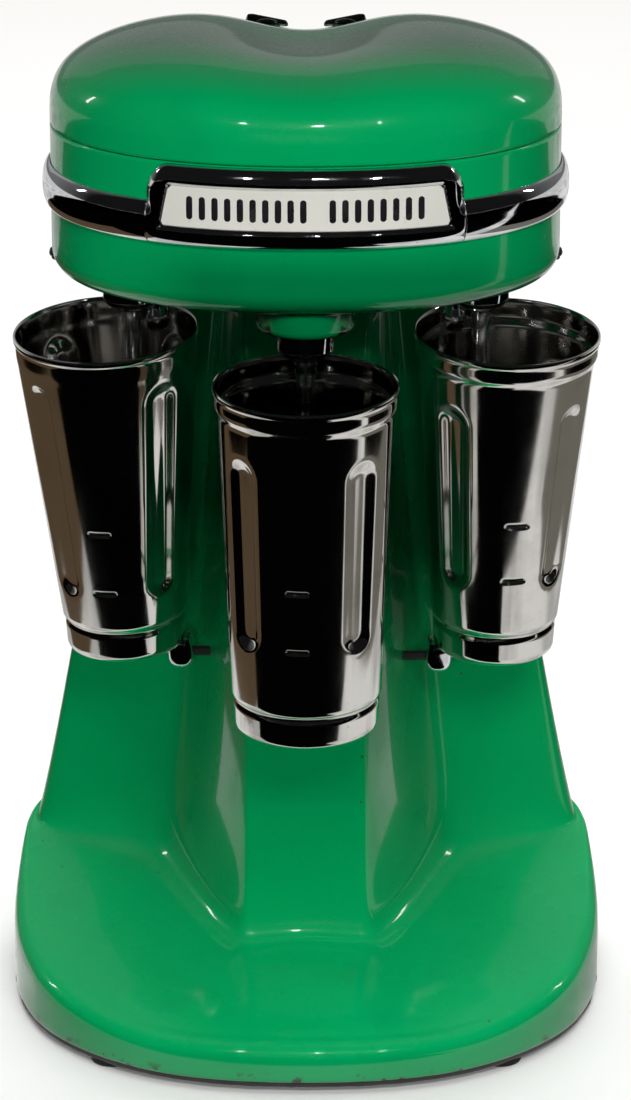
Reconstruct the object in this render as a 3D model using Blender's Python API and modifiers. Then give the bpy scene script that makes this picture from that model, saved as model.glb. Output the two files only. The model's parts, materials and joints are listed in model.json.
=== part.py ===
"""Three-spindle milkshake mixer: enamelled stand and head, motors, spindles and steel cups.

Metres, +Z up, front towards -Y, origin on the floor under the middle of the machine.
"""
import math

import bmesh
import bpy
from mathutils import Matrix, Vector

# ---- driving dimensions -------------------------------------------------------------------
GAP = 0.0003                     # clearance between touching pieces
SIDES = (("left", -1), ("right", 1))
FINE = 24                        # facets round the cups
ROUND = 16                       # facets round shafts, bosses and collars
SMALL = 10                       # facets round screws and small bores

BASE_HALF_WIDTH = 0.1585
BASE_CENTRE_Y = 0.040            # widest line of the foot plan
BASE_FRONT_REACH = 0.160
BASE_REAR_REACH = 0.080
BASE_FRONT_POWER = 2.3
BASE_REAR_POWER = 8.0
BASE_REAR_TAPER = 0.067          # narrowing of the foot plan towards the rear
# plan angles at which the foot plan meets the pier's corners, front to rear
BASE_STATION_DEGREES = (0.0, 11.0, 24.0, 41.0, 59.0, 77.0, 96.0, 121.0, 150.0, 180.0)
FOOT_PLACES = (("front_left", -0.1005, -0.0755), ("front_right", 0.1005, -0.0755),
               ("rear_left", -0.128, 0.088), ("rear_right", 0.128, 0.088))
FOOT_BORE = 0.0024
FOOT_HEIGHT = 0.0030
FOOT_RADIUS = 0.0115
PLATE_THICKNESS = 0.0027
SKIRT_BOTTOM = FOOT_HEIGHT + PLATE_THICKNESS + 2 * GAP
LIP_RADIUS = 0.007
TRAY_FRONT_Z = 0.0275            # tray surface at its front edge
TRAY_RISE = math.tan(math.radians(12.0))
STAND_WALL = 0.0032
FOOT_FILLET = 0.0135             # fillet between tray and pier
GLAND_HEIGHT = 0.034
GLAND_BORE = 0.0036
GLAND_SLEEVE = 0.0074
GLAND_FLANGE = 0.0110
WIRE_WAY_Y = 0.045
WIRE_WAY_RADIUS = 0.008

PIER_TOP = 0.4065
HOUSING_FLOOR = 0.4085           # underside of the motor housing
HEAD_HALF_WIDTH = 0.1285
HEAD_HALF_DEPTH = 0.0995
HEAD_CENTRE_Y = -0.004
HEAD_POWER = 2.15
HEAD_SEAM = 0.485                # joint between housing and cover
HOUSING_ROUND = 0.012
HOUSING_WALL = 0.0028
COVER_WALL = 0.0026
COVER_LIP = 0.0030                # upright edge of the cover above the seam
COVER_RISE = 0.0448
COVER_POWER = 3.3
SADDLE_DEPTH = 0.0150
SADDLE_WIDTH = 0.040

BAND_BOTTOM = 0.4435
BAND_TOP = 0.4650
BEZEL_TOP = HEAD_SEAM - GAP
BEZEL_HALF_TOP = 0.0725
BEZEL_HALF_FOOT = 0.0800
BEZEL_PROUD = 0.0050
BAND_PROUD = 0.0034
PLATE_BOTTOM = 0.4540
PLATE_TOP = 0.4745
PLATE_HALF_BOTTOM = 0.0690
PLATE_HALF_TOP = 0.0650
PLATE_RECESS = 0.0030

SHAFT_RADIUS = 0.0050
SHAFT_TOP = 0.4835
STATOR_RADIUS = 0.0235
STATOR_BOTTOM = 0.4250
BRIDGE_BOTTOM = 0.4700
BRIDGE_THICKNESS = 0.0030
BOSS_RADIUS = 0.0265
BOSS_BOTTOM = 0.3930
COLLAR_RADIUS = 0.0145
COLLAR_BOTTOM = 0.3775
BEARING_RADIUS = 0.0110
BEARING_HEIGHT = 0.0070

# station name: spindle x, y, then cup bottom centre, cup rim centre, bottom and top radius
STATIONS = {
    "left": {"spindle": (-0.0900, 0.0240), "foot": (-0.0945, 0.0330, 0.1930),
             "rim": (-0.1030, 0.0180, 0.3680), "radii": (0.0315, 0.0475)},
    "centre": {"spindle": (0.0, -0.0660), "foot": (0.0, -0.0690, 0.1850),
               "rim": (0.0, -0.0780, 0.3680), "radii": (0.0372, 0.0462)},
    "right": {"spindle": (0.0900, 0.0240), "foot": (0.0985, 0.0330, 0.1910),
              "rim": (0.1035, 0.0180, 0.3670), "radii": (0.0320, 0.0478)},
}
CUP_WALL = 0.0011
CUP_BEAD = 0.0013
CUP_BAND = 0.0165                # height of the pressed band at the cup's foot
CUP_FLOOR = 0.0028
SHOULDER_DROP = 0.0140           # shoulder step below the cup's rim
REST_DEPTH = 0.0150
REST_STUD_RADIUS = 0.0032
REST_PLACES = {"left": (-0.0515, 0.0290), "centre": (0.0, -0.0155), "right": (0.0515, 0.0290)}
REST_HALF_WIDTHS = {"left": 0.0060, "centre": 0.0130, "right": 0.0060}
HOOK_DISTANCE = 0.0215           # from the spindle, towards the pier
HOOK_DIRECTIONS = {"left": (0.6, 0.8), "centre": (0.0, 1.0), "right": (-0.6, 0.8)}
HOOK_STEM = 0.0024
HOOK_RADIUS = 0.0050
HOOK_BULB = 0.0060
HOOK_TIP = 0.3600
AGITATOR_LIFT = 0.032            # agitator above the cup's foot
AGITATOR_RADIUS = 0.014
AGITATOR_WAVE = 0.0013

NECK_BOLT_X = 0.030
NECK_BOLT_Y = 0.068
NECK_BOLT_WAY = 0.0030
SIDE_SCREW_SHANK = 0.0017
SIDE_SCREW_LEAN = math.radians(30.0)
BRIDGE_ARM = 0.018
BRIDGE_POSTS = ((0.036, -0.040), (-0.036, -0.040), (0.040, 0.034), (-0.040, 0.034))
KNOB_STEM = 0.0026
KNOB_X = 0.0205
KNOB_Y = 0.0850
REAR_KNOB_Y = 0.0945

COLLECTION = "milkshake_mixer"


# ---- scene and material helpers -----------------------------------------------------------
def clear_scene():
    for scene_object in list(bpy.data.objects):
        bpy.data.objects.remove(scene_object, do_unlink=True)


def new_collection(name):
    collection = bpy.data.collections.new(name)
    bpy.context.scene.collection.children.link(collection)
    return collection


def material(name, colour, roughness, metallic):
    made = bpy.data.materials.new(name)
    made.use_nodes = True
    shader = made.node_tree.nodes["Principled BSDF"]
    shader.inputs["Base Color"].default_value = (*colour, 1.0)
    shader.inputs["Roughness"].default_value = roughness
    shader.inputs["Metallic"].default_value = metallic
    return made


clear_scene()
PARTS = new_collection(COLLECTION)
CUTTERS = new_collection("cutters")
ENAMEL = material("green_enamel", (0.0, 0.33, 0.10), 0.18, 0.0)
CHROME = material("chrome", (0.75, 0.76, 0.78), 0.08, 1.0)
STEEL = material("stainless_steel", (0.62, 0.60, 0.58), 0.18, 1.0)
CREAM = material("plate_cream", (0.72, 0.70, 0.60), 0.35, 0.3)
BLACK = material("black_bakelite", (0.012, 0.012, 0.013), 0.30, 0.0)
RUBBER = material("black_rubber", (0.015, 0.015, 0.015), 0.85, 0.0)
PLATE_PAINT = material("black_paint", (0.02, 0.02, 0.02), 0.50, 0.0)
MOTOR_IRON = material("motor_iron", (0.16, 0.15, 0.15), 0.55, 0.9)
ZINC = material("zinc_steel", (0.45, 0.46, 0.47), 0.40, 1.0)
BRASS = material("bearing_bronze", (0.55, 0.38, 0.16), 0.35, 1.0)


def add_object(name, mesh, finish, sharp_degrees=35.0):
    made = bpy.data.objects.new(name, mesh)
    PARTS.objects.link(made)
    mesh.materials.append(finish)
    mesh.shade_smooth()
    mesh.set_sharp_from_angle(angle=math.radians(sharp_degrees))
    return made


def mesh_from(bm, name):
    bmesh.ops.recalc_face_normals(bm, faces=bm.faces)
    mesh = bpy.data.meshes.new(name)
    bm.to_mesh(mesh)
    bm.free()
    return mesh


def as_cutter(made):
    made.hide_render = True
    made.display_type = "WIRE"
    for collection in list(made.users_collection):
        collection.objects.unlink(made)
    CUTTERS.objects.link(made)
    return made


def boolean(target, tool, operation):
    modifier = target.modifiers.new(operation.lower() + "_" + tool.name, "BOOLEAN")
    modifier.operation = operation
    modifier.solver = "EXACT"
    modifier.object = tool
    return modifier


def solidify(target, thickness):
    modifier = target.modifiers.new("wall", "SOLIDIFY")
    modifier.thickness = thickness
    modifier.offset = -1.0
    modifier.use_even_offset = True
    return modifier


def bevel(target, width, segments=2, degrees=40.0):
    modifier = target.modifiers.new("edges", "BEVEL")
    modifier.width = width
    modifier.segments = segments
    modifier.limit_method = "ANGLE"
    modifier.angle_limit = math.radians(degrees)
    return modifier


# ---- basic solids -------------------------------------------------------------------------
def turned(name, profile, finish, steps, closed=False):
    """A turned solid; the profile runs down its outer side at +X, from top to bottom."""
    bm = bmesh.new()
    points = [bm.verts.new((x, 0.0, z)) for x, z in profile]
    for first, second in zip(points, points[1:]):
        bm.edges.new((first, second))
    if closed:
        bm.edges.new((points[-1], points[0]))
    mesh = bpy.data.meshes.new(name)
    bm.to_mesh(mesh)
    bm.free()
    made = add_object(name, mesh, finish)
    screw = made.modifiers.new("turn", "SCREW")
    screw.axis = "Z"
    screw.steps = steps
    screw.render_steps = steps
    screw.use_merge_vertices = True
    screw.merge_threshold = 0.00001
    screw.use_smooth_shade = True
    return made


def cylinder(name, radius, bottom, top, finish, segments=24, top_radius=None):
    bm = bmesh.new()
    bmesh.ops.create_cone(bm, cap_ends=True, segments=segments, radius1=radius,
                          radius2=radius if top_radius is None else top_radius,
                          depth=top - bottom)
    bmesh.ops.translate(bm, verts=bm.verts, vec=(0.0, 0.0, (top + bottom) / 2))
    return add_object(name, mesh_from(bm, name), finish)


def block(name, low, high, finish):
    bm = bmesh.new()
    bmesh.ops.create_cube(bm, size=1.0)
    size = Vector(high) - Vector(low)
    bmesh.ops.scale(bm, verts=bm.verts, vec=size)
    bmesh.ops.translate(bm, verts=bm.verts, vec=(Vector(low) + Vector(high)) / 2)
    return add_object(name, mesh_from(bm, name), finish)


def loft(name, rings, finish, cap_first=False, cap_last=False, sharp_degrees=35.0):
    """A surface through closed rings of equal point counts."""
    bm = bmesh.new()
    loops = [[bm.verts.new(point) for point in ring] for ring in rings]
    count = len(loops[0])
    for lower, upper in zip(loops, loops[1:]):
        for index in range(count):
            after = (index + 1) % count
            bm.faces.new((lower[index], lower[after], upper[after], upper[index]))
    if cap_first:
        bm.faces.new(list(reversed(loops[0])))
    if cap_last:
        bm.faces.new(loops[-1])
    return add_object(name, mesh_from(bm, name), finish, sharp_degrees)


# ---- plan curves --------------------------------------------------------------------------
def signed_power(value, power):
    return math.copysign(abs(value) ** power, value)


def smooth_step(value):
    value = min(1.0, max(0.0, value))
    return value * value * (3.0 - 2.0 * value)


def mix(first, second, share):
    return first + (second - first) * share


def closed_normals(points):
    """Outward plan normals of a closed counter-clockwise ring."""
    count = len(points)
    normals = []
    for index in range(count):
        before = Vector(points[index - 1][:2])
        after = Vector(points[(index + 1) % count][:2])
        along = (after - before).normalized()
        normals.append((along.y, -along.x))
    return normals


def base_point(degrees):
    """Foot plan; 0 degrees is the front, 90 the right-hand side, 180 the rear."""
    turn = math.radians(degrees)
    front = math.cos(turn) > 0.0
    power = BASE_FRONT_POWER if front else BASE_REAR_POWER
    reach = BASE_FRONT_REACH if front else BASE_REAR_REACH
    x = BASE_HALF_WIDTH * signed_power(math.sin(turn), 2.0 / power)
    y = BASE_CENTRE_Y - reach * signed_power(math.cos(turn), 2.0 / power)
    behind = max(0.0, y - BASE_CENTRE_Y) / BASE_REAR_REACH
    return x * (1.0 - BASE_REAR_TAPER * behind ** 1.5), y


def head_point(degrees, offset=0.0, scale=1.0):
    """Head plan grown by offset along its normal; 0 degrees is the front."""
    turn = math.radians(degrees)
    x = scale * HEAD_HALF_WIDTH * signed_power(math.sin(turn), 2.0 / HEAD_POWER)
    y = -scale * HEAD_HALF_DEPTH * signed_power(math.cos(turn), 2.0 / HEAD_POWER)
    normal = Vector((signed_power(x / HEAD_HALF_WIDTH, HEAD_POWER - 1) / HEAD_HALF_WIDTH,
                     signed_power(y / HEAD_HALF_DEPTH, HEAD_POWER - 1) / HEAD_HALF_DEPTH))
    if normal.length > 0.0:
        normal.normalize()
    return x + offset * normal.x, HEAD_CENTRE_Y + y + offset * normal.y


# ---- stand --------------------------------------------------------------------------------
def tray_height(y):
    front_edge = BASE_CENTRE_Y - BASE_FRONT_REACH
    return TRAY_FRONT_Z + TRAY_RISE * (y - front_edge)


def wing_half_width(z):
    """The rear wall widens downwards, flares into the foot and draws in under the head."""
    below = 0.150 - z
    above = max(0.0, z - 0.220)
    return 0.1313 + 0.17 * below + 0.6 * max(0.0, below) ** 2 - 0.86 * above ** 2


def pier_corners(z):
    """Right-hand half of the pier's plan as corners: x, y, corner radius, sample count."""
    low = smooth_step((z - 0.050) / 0.150)
    high = max(0.0, (z - 0.200) / 0.200)
    panel_y = mix(-0.0265, -0.0140, low) + 0.010 * high
    width = wing_half_width(z)
    rear = mix(0.1100, 0.1050, low) - 0.021 * high ** 1.5
    cheek_x = mix(0.052, 0.044, low) - 0.007 * high
    corner_x = mix(0.072, 0.061, low) - 0.018 * high
    corner_y = mix(0.050, 0.069, low) - 0.010 * high
    wall_x = mix(0.105, 0.095, low) - 0.044 * high
    wall_y = mix(0.064, 0.076, low) - 0.012 * high
    tip_y = mix(0.079, 0.084, low) - 0.016 * high
    return [
        (0.0, panel_y, 0.0, 1),
        (0.5 * mix(0.034, 0.030, low), panel_y - 0.0006, 0.0, 1),
        (mix(0.0345, 0.0305, low) - 0.005 * high, panel_y - 0.0035, 0.006, 3),
        (cheek_x, panel_y + 0.021, 0.020, 2),
        (corner_x, corner_y, 0.016, 4),
        (wall_x, wall_y, 0.0, 1),
        (width, tip_y, 0.008, 3),
        (width - 0.004, rear, 0.030, 3),
        (0.5 * width, rear + 0.0010, 0.0, 1),
        (0.0, rear + 0.0015, 0.0, 1),
    ]


def rounded_half(corners):
    """Points along a half plan, each corner rounded by a quadratic arc."""
    points = []
    for index, (x, y, radius, samples) in enumerate(corners):
        here = Vector((x, y))
        if samples == 1:
            points.append(here)
            continue
        before = Vector(corners[index - 1][:2])
        after = Vector(corners[index + 1][:2])
        to_before = before - here
        to_after = after - here
        reach = min(radius, 0.45 * to_before.length, 0.45 * to_after.length)
        start = here + to_before.normalized() * reach
        end = here + to_after.normalized() * reach
        for step in range(samples):
            share = step / (samples - 1)
            points.append(start * (1 - share) ** 2 + here * 2 * share * (1 - share)
                          + end * share ** 2)
    return points


def mirror_half(half):
    """A closed counter-clockwise ring from the right half, front centre to rear centre."""
    left = [Vector((-point.x, point.y)) for point in reversed(half[1:-1])]
    return list(half) + left


def base_half(corners):
    """The foot plan sampled so that it matches the pier's corners point for point."""
    points = []
    for index, corner in enumerate(corners):
        samples = corner[3]
        centre = BASE_STATION_DEGREES[index]
        if samples == 1:
            points.append(Vector(base_point(centre)))
            continue
        before = mix(centre, BASE_STATION_DEGREES[index - 1], 0.30)
        after = mix(centre, BASE_STATION_DEGREES[index + 1], 0.30)
        for step in range(samples):
            points.append(Vector(base_point(mix(before, after, step / (samples - 1)))))
    return points


def stand_rings():
    reference = mirror_half(rounded_half(pier_corners(0.060)))
    count = len(reference)
    base = mirror_half(base_half(pier_corners(0.060)))
    base_normals = closed_normals(base)

    def lip_ring(degrees):
        """A ring round the lip's quarter-round edge, which tightens beside the rear wall."""
        turn = math.radians(degrees)
        ring = []
        for point, normal in zip(base, base_normals):
            radius = LIP_RADIUS * mix(1.0, 0.35, smooth_step((point.y - 0.050) / 0.040))
            inset = radius * (1.0 - math.cos(turn))
            ring.append((point.x - inset * normal[0], point.y - inset * normal[1],
                         tray_height(point.y) - radius * (1.0 - math.sin(turn))))
        return ring

    rings = [[(point.x, point.y, SKIRT_BOTTOM) for point in base]]
    rings += [lip_ring(degrees) for degrees in (0.0, 35.0, 90.0)]

    pier_plans = {}

    def pier_point(index, z):
        key = round(z, 4)
        if key not in pier_plans:
            pier_plans[key] = mirror_half(rounded_half(pier_corners(z)))
        return pier_plans[key][index]

    foot_normals = closed_normals(reference)
    fillet_rings = []
    for degrees in (0.0, 35.0, 65.0, 90.0):
        turn = math.radians(degrees)
        ring = []
        for index in range(count):
            at = reference[index]
            side_share = max(smooth_step((abs(at.x) - 0.115) / 0.030),
                             smooth_step((at.y - 0.085) / 0.020))
            size = FOOT_FILLET * mix(1.0, 0.12, side_share)
            foot_z = tray_height(at.y)
            plan = pier_point(index, foot_z + size)
            out = size * (1.0 - math.sin(turn))
            ring.append((plan.x + out * foot_normals[index][0],
                         plan.y + out * foot_normals[index][1],
                         foot_z + size * (1.0 - math.cos(turn))))
        fillet_rings.append(ring)

    rings.append([Vector(start).lerp(Vector(end), 0.5)
                  for start, end in zip(rings[-1], fillet_rings[0])])
    rings.extend(fillet_rings)

    top_ring = fillet_rings[-1]
    for share in (0.12, 0.26, 0.44, 0.70, 0.985):
        ring = []
        for index in range(count):
            z = mix(top_ring[index][2], PIER_TOP, share)
            plan = pier_point(index, z)
            ring.append((plan.x, plan.y, z))
        rings.append(ring)
    crown = mirror_half(rounded_half(pier_corners(PIER_TOP)))
    crown_normals = closed_normals(crown)
    rings.append([(point.x - 0.003 * normal[0], point.y - 0.003 * normal[1], PIER_TOP)
                  for point, normal in zip(crown, crown_normals)])
    return rings


def bore(name, radius, bottom, top, x, y, segments=SMALL):
    tool = cylinder(name, radius, bottom, top, ZINC, segments)
    tool.location = (x, y, 0.0)
    return as_cutter(tool)


def make_stand():
    stand = loft("stand_shell", stand_rings(), ENAMEL, cap_last=True)
    solidify(stand, STAND_WALL)
    boolean(stand, bore("wire_way_stand", WIRE_WAY_RADIUS, PIER_TOP - 0.02, PIER_TOP + 0.02,
                        0.0, WIRE_WAY_Y), "DIFFERENCE")
    for side, sign in SIDES:
        boolean(stand, bore("neck_bolt_way_" + side, NECK_BOLT_WAY, PIER_TOP - 0.02,
                            PIER_TOP + 0.02, sign * NECK_BOLT_X, NECK_BOLT_Y), "DIFFERENCE")
    gland_way = cylinder("gland_way", GLAND_SLEEVE + 0.0004, 0.09, 0.14, ZINC, ROUND)
    gland_way.rotation_euler = (-math.pi / 2, 0.0, 0.0)
    gland_way.location = (0.0, 0.0, GLAND_HEIGHT)
    boolean(stand, as_cutter(gland_way), "DIFFERENCE")
    return stand


def make_cord_gland():
    """A flanged bush in the rear of the skirt, its bore open for the supply cord."""
    face = BASE_CENTRE_Y + BASE_REAR_REACH
    profile = [(GLAND_BORE, 0.0054), (GLAND_FLANGE - 0.0025, 0.0054), (GLAND_FLANGE, 0.0036),
               (GLAND_FLANGE, GAP), (GLAND_SLEEVE, GAP), (GLAND_SLEEVE, -0.0120),
               (GLAND_BORE, -0.0120)]
    gland = turned("cord_gland", profile, BLACK, ROUND, closed=True)
    gland.rotation_euler = (-math.pi / 2, 0.0, 0.0)
    gland.location = (0.0, face, GLAND_HEIGHT)
    return gland


def make_base_plate():
    ring = mirror_half(base_half(pier_corners(0.060)))
    normals = closed_normals(ring)
    inset = 0.0016
    bottom = FOOT_HEIGHT + GAP
    outline = [(p.x - inset * n[0], p.y - inset * n[1]) for p, n in zip(ring, normals)]
    rings = [[(x, y, z) for x, y in outline] for z in (bottom, bottom + PLATE_THICKNESS)]
    plate = loft("base_plate", rings, PLATE_PAINT, cap_first=True, cap_last=True)
    for name, x, y in FOOT_PLACES:
        boolean(plate, bore("screw_way_" + name, FOOT_BORE, -0.01, 0.02, x, y), "DIFFERENCE")
    return plate


def make_feet():
    """Rubber feet, each held by a screw through the base plate."""
    for name, x, y in FOOT_PLACES:
        profile = [(FOOT_BORE, FOOT_HEIGHT), (FOOT_RADIUS, FOOT_HEIGHT), (FOOT_RADIUS, 0.0008),
                   (FOOT_RADIUS - 0.0010, 0.0), (0.0050, 0.0), (0.0050, 0.0014),
                   (FOOT_BORE, 0.0014)]
        foot = turned("foot_" + name, profile, RUBBER, ROUND, closed=True)
        foot.location = (x, y, 0.0)
        top = FOOT_HEIGHT + PLATE_THICKNESS + 0.006
        profile = [(0.0, top), (0.0020, top), (0.0020, 0.0011), (0.0044, 0.0011),
                   (0.0040, 0.0003), (0.0, 0.0003)]
        screw = turned("foot_screw_" + name, profile, ZINC, SMALL)
        screw.location = (x, y, 0.0)


# ---- head ---------------------------------------------------------------------------------
def cover_height(x, y):
    """Outer height of the cover over the head plan, with the valley between its two humps."""
    reach = (abs(x / HEAD_HALF_WIDTH) ** HEAD_POWER
             + abs((y - HEAD_CENTRE_Y) / HEAD_HALF_DEPTH) ** HEAD_POWER) ** (1 / HEAD_POWER)
    dome = max(0.0, 1.0 - min(1.0, reach) ** COVER_POWER) ** (1.0 / COVER_POWER)
    valley = SADDLE_DEPTH * math.exp(-(x / SADDLE_WIDTH) ** 2)
    valley *= mix(0.22, 1.0, smooth_step((y + 0.075) / 0.095))
    return HEAD_SEAM + COVER_LIP + COVER_RISE * dome - valley * dome


def plan_angle(x):
    """The plan angle at which the front of the head reaches x."""
    return math.degrees(math.asin(signed_power(x / HEAD_HALF_WIDTH, HEAD_POWER / 2)))


def head_angles():
    """Plan angles shared by all head pieces, with the raised frame's edges among them."""
    recess_edge = PLATE_HALF_BOTTOM + GAP
    frame_steps = [mix(BEZEL_HALF_TOP, BEZEL_HALF_FOOT, share) for share in (0.0, 0.33, 0.67, 1.0)]
    places = [0.0, 0.018, 0.036, 0.053, recess_edge, recess_edge + 0.001] + frame_steps
    places += [0.090, 0.100]
    half = [plan_angle(x) for x in places]
    last = half[-1]
    rear_steps = 11
    half += [mix(last, 180.0, step / rear_steps) for step in range(1, rear_steps)]
    return half + [180.0] + [360.0 - angle for angle in reversed(half[1:])]


def make_upper_cover():
    angles = head_angles()
    rings = [[(*head_point(angle), HEAD_SEAM + GAP) for angle in angles]]
    for degrees in (0.0, 14.0, 28.0, 41.0, 54.0, 66.0, 76.0, 84.0):
        turn = math.radians(degrees)
        scale = math.cos(turn) ** (2.0 / COVER_POWER)
        plan = [head_point(angle, scale=scale) for angle in angles]
        rings.append([(x, y, cover_height(x, y)) for x, y in plan])
    cover = loft("upper_cover", rings, ENAMEL, cap_last=True)
    solidify(cover, COVER_WALL)
    for name, place, normal in KNOB_PLACES:
        way = cylinder("stem_way_" + name, KNOB_STEM + 0.0010, -0.008, 0.008, ZINC, SMALL)
        aim(way, place, normal)
        boolean(cover, as_cutter(way), "DIFFERENCE")
    return cover


def make_lower_housing():
    angles = head_angles()
    rings = [[(*head_point(angle), HEAD_SEAM) for angle in angles],
             [(*head_point(angle), 0.452) for angle in angles]]
    for degrees in (0.0, 45.0, 90.0):
        turn = math.radians(degrees)
        inset = -HOUSING_ROUND * (1.0 - math.cos(turn))
        z = HOUSING_FLOOR + HOUSING_ROUND * (1.0 - math.sin(turn))
        rings.append([(*head_point(angle, inset), z) for angle in angles])
    housing = loft("lower_housing", rings, ENAMEL, cap_last=True)
    solidify(housing, HOUSING_WALL)
    floor_top = HOUSING_FLOOR + HOUSING_WALL
    for name, station in STATIONS.items():
        x, y = station["spindle"]
        boss = cylinder("boss_" + name, BOSS_RADIUS - 0.0015, BOSS_BOTTOM, floor_top + 0.0009,
                        ENAMEL, ROUND, top_radius=BOSS_RADIUS + 0.0005)
        bevel(boss, 0.002, 1)
        boss.location = (x, y, 0.0)
        boolean(housing, as_cutter(boss), "UNION")
    for name, station in STATIONS.items():
        x, y = station["spindle"]
        boolean(housing, bore("bearing_seat_" + name, BEARING_RADIUS + GAP, BOSS_BOTTOM + 0.004,
                              floor_top + 0.02, x, y, ROUND), "DIFFERENCE")
        boolean(housing, bore("shaft_way_" + name, SHAFT_RADIUS + 0.0012, BOSS_BOTTOM - 0.02,
                              floor_top, x, y, SMALL), "DIFFERENCE")
    boolean(housing, bore("wire_way_housing", WIRE_WAY_RADIUS, HOUSING_FLOOR - 0.01,
                          floor_top + 0.01, 0.0, WIRE_WAY_Y), "DIFFERENCE")
    for side, sign in SIDES:
        boolean(housing, bore("bolt_way_head_" + side, NECK_BOLT_WAY, HOUSING_FLOOR - 0.01,
                              floor_top + 0.01, sign * NECK_BOLT_X, NECK_BOLT_Y), "DIFFERENCE")
    for name in STATIONS:
        x, y = hook_place(name)
        boolean(housing, bore("hook_way_" + name, HOOK_STEM + GAP, BOSS_BOTTOM - 0.005,
                              floor_top + 0.01, x, y), "DIFFERENCE")
    return housing


def make_neck():
    """Gasket and bolts between the pier and the motor housing."""
    crown = mirror_half(rounded_half(pier_corners(PIER_TOP)))
    normals = closed_normals(crown)
    inset = 0.004
    outline = [(p.x - inset * n[0], p.y - inset * n[1]) for p, n in zip(crown, normals)]
    levels = (PIER_TOP + GAP, HOUSING_FLOOR - GAP)
    rings = [[(x, y, z) for x, y in outline] for z in levels]
    gasket = loft("neck_gasket", rings, RUBBER, cap_first=True, cap_last=True)
    boolean(gasket, bore("wire_way_gasket", WIRE_WAY_RADIUS + 0.001, PIER_TOP - 0.01,
                         HOUSING_FLOOR + 0.01, 0.0, WIRE_WAY_Y), "DIFFERENCE")
    for side, sign in SIDES:
        boolean(gasket, bore("bolt_way_gasket_" + side, NECK_BOLT_WAY + 0.0004, PIER_TOP - 0.01,
                             HOUSING_FLOOR + 0.01, sign * NECK_BOLT_X, NECK_BOLT_Y), "DIFFERENCE")
        head_bottom = HOUSING_FLOOR + HOUSING_WALL + GAP
        profile = [(0.0, head_bottom + 0.004), (0.0050, head_bottom + 0.004),
                   (0.0050, head_bottom), (0.0027, head_bottom), (0.0027, PIER_TOP - 0.012),
                   (0.0, PIER_TOP - 0.012)]
        bolt = turned("neck_bolt_" + side, profile, ZINC, SMALL)
        bolt.location = (sign * NECK_BOLT_X, NECK_BOLT_Y, 0.0)


def band_section(x, front):
    """Offset and height pairs of the trim's section, from its lower inner edge outwards."""
    rise = smooth_step((BEZEL_HALF_FOOT - abs(x)) / (BEZEL_HALF_FOOT - BEZEL_HALF_TOP))
    rise = rise if front else 0.0
    top = mix(BAND_TOP, BEZEL_TOP, rise)
    proud = mix(BAND_PROUD, BEZEL_PROUD, rise)
    recessed = 1.0 if front and abs(x) < PLATE_HALF_BOTTOM + 2 * GAP else 0.0
    low_z = mix(mix(BAND_BOTTOM, top, 0.30), PLATE_BOTTOM - GAP, rise)
    high_z = mix(mix(BAND_BOTTOM, top, 0.70), PLATE_TOP + GAP, rise)
    floor = proud - PLATE_RECESS * recessed
    return [(GAP, BAND_BOTTOM), (0.6 * proud, BAND_BOTTOM), (0.95 * proud, BAND_BOTTOM + 0.0015),
            (proud, low_z - 0.0006), (floor, low_z), (floor, high_z), (proud, high_z + 0.0006),
            (0.95 * proud, top - 0.0025), (0.55 * proud, top - 0.0004), (GAP, top - 0.0004)]


def recess_slant(x, z):
    """Inward shift of the recess's end walls with height, as the plate narrows upwards."""
    if abs(abs(x) - PLATE_HALF_BOTTOM - 0.0008) > 0.0008:
        return 0.0
    share = (z - PLATE_BOTTOM) / (PLATE_TOP - PLATE_BOTTOM)
    share = min(1.0, max(0.0, share))
    return math.copysign((PLATE_HALF_BOTTOM - PLATE_HALF_TOP) * share, x)


def make_trim_band():
    """The chrome belt round the head with its raised frame for the name plate."""
    sections = []
    for angle in head_angles():
        x, y = head_point(angle)
        front = y < HEAD_CENTRE_Y
        section = []
        for offset, z in band_section(x, front):
            slant = recess_slant(x, z) if front else 0.0
            place = plan_angle(x - slant) if slant else angle
            section.append((*head_point(place, offset), z))
        sections.append(section)
    bm = bmesh.new()
    loops = [[bm.verts.new(point) for point in section] for section in sections]
    for index, loop in enumerate(loops):
        after = loops[(index + 1) % len(loops)]
        for corner in range(len(loop)):
            nxt = (corner + 1) % len(loop)
            bm.faces.new((loop[corner], after[corner], after[nxt], loop[nxt]))
    return add_object("trim_band", mesh_from(bm, "trim_band"), CHROME, 50.0)


def make_name_plate():
    """A blank curved plate, wider at its foot, lying in the frame's recess."""
    back = BEZEL_PROUD - PLATE_RECESS + GAP
    front = BEZEL_PROUD - 0.0004
    columns = []
    steps = 16
    for step in range(steps + 1):
        share = 2.0 * step / steps - 1.0
        column = []
        for z, half in ((PLATE_BOTTOM, PLATE_HALF_BOTTOM), (PLATE_TOP, PLATE_HALF_TOP)):
            angle = plan_angle(share * (half - GAP))
            column.append((*head_point(angle, back), z))
            column.append((*head_point(angle, front), z))
        columns.append([column[0], column[1], column[3], column[2]])
    return loft("name_plate", columns, CREAM, cap_first=True, cap_last=True)


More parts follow.
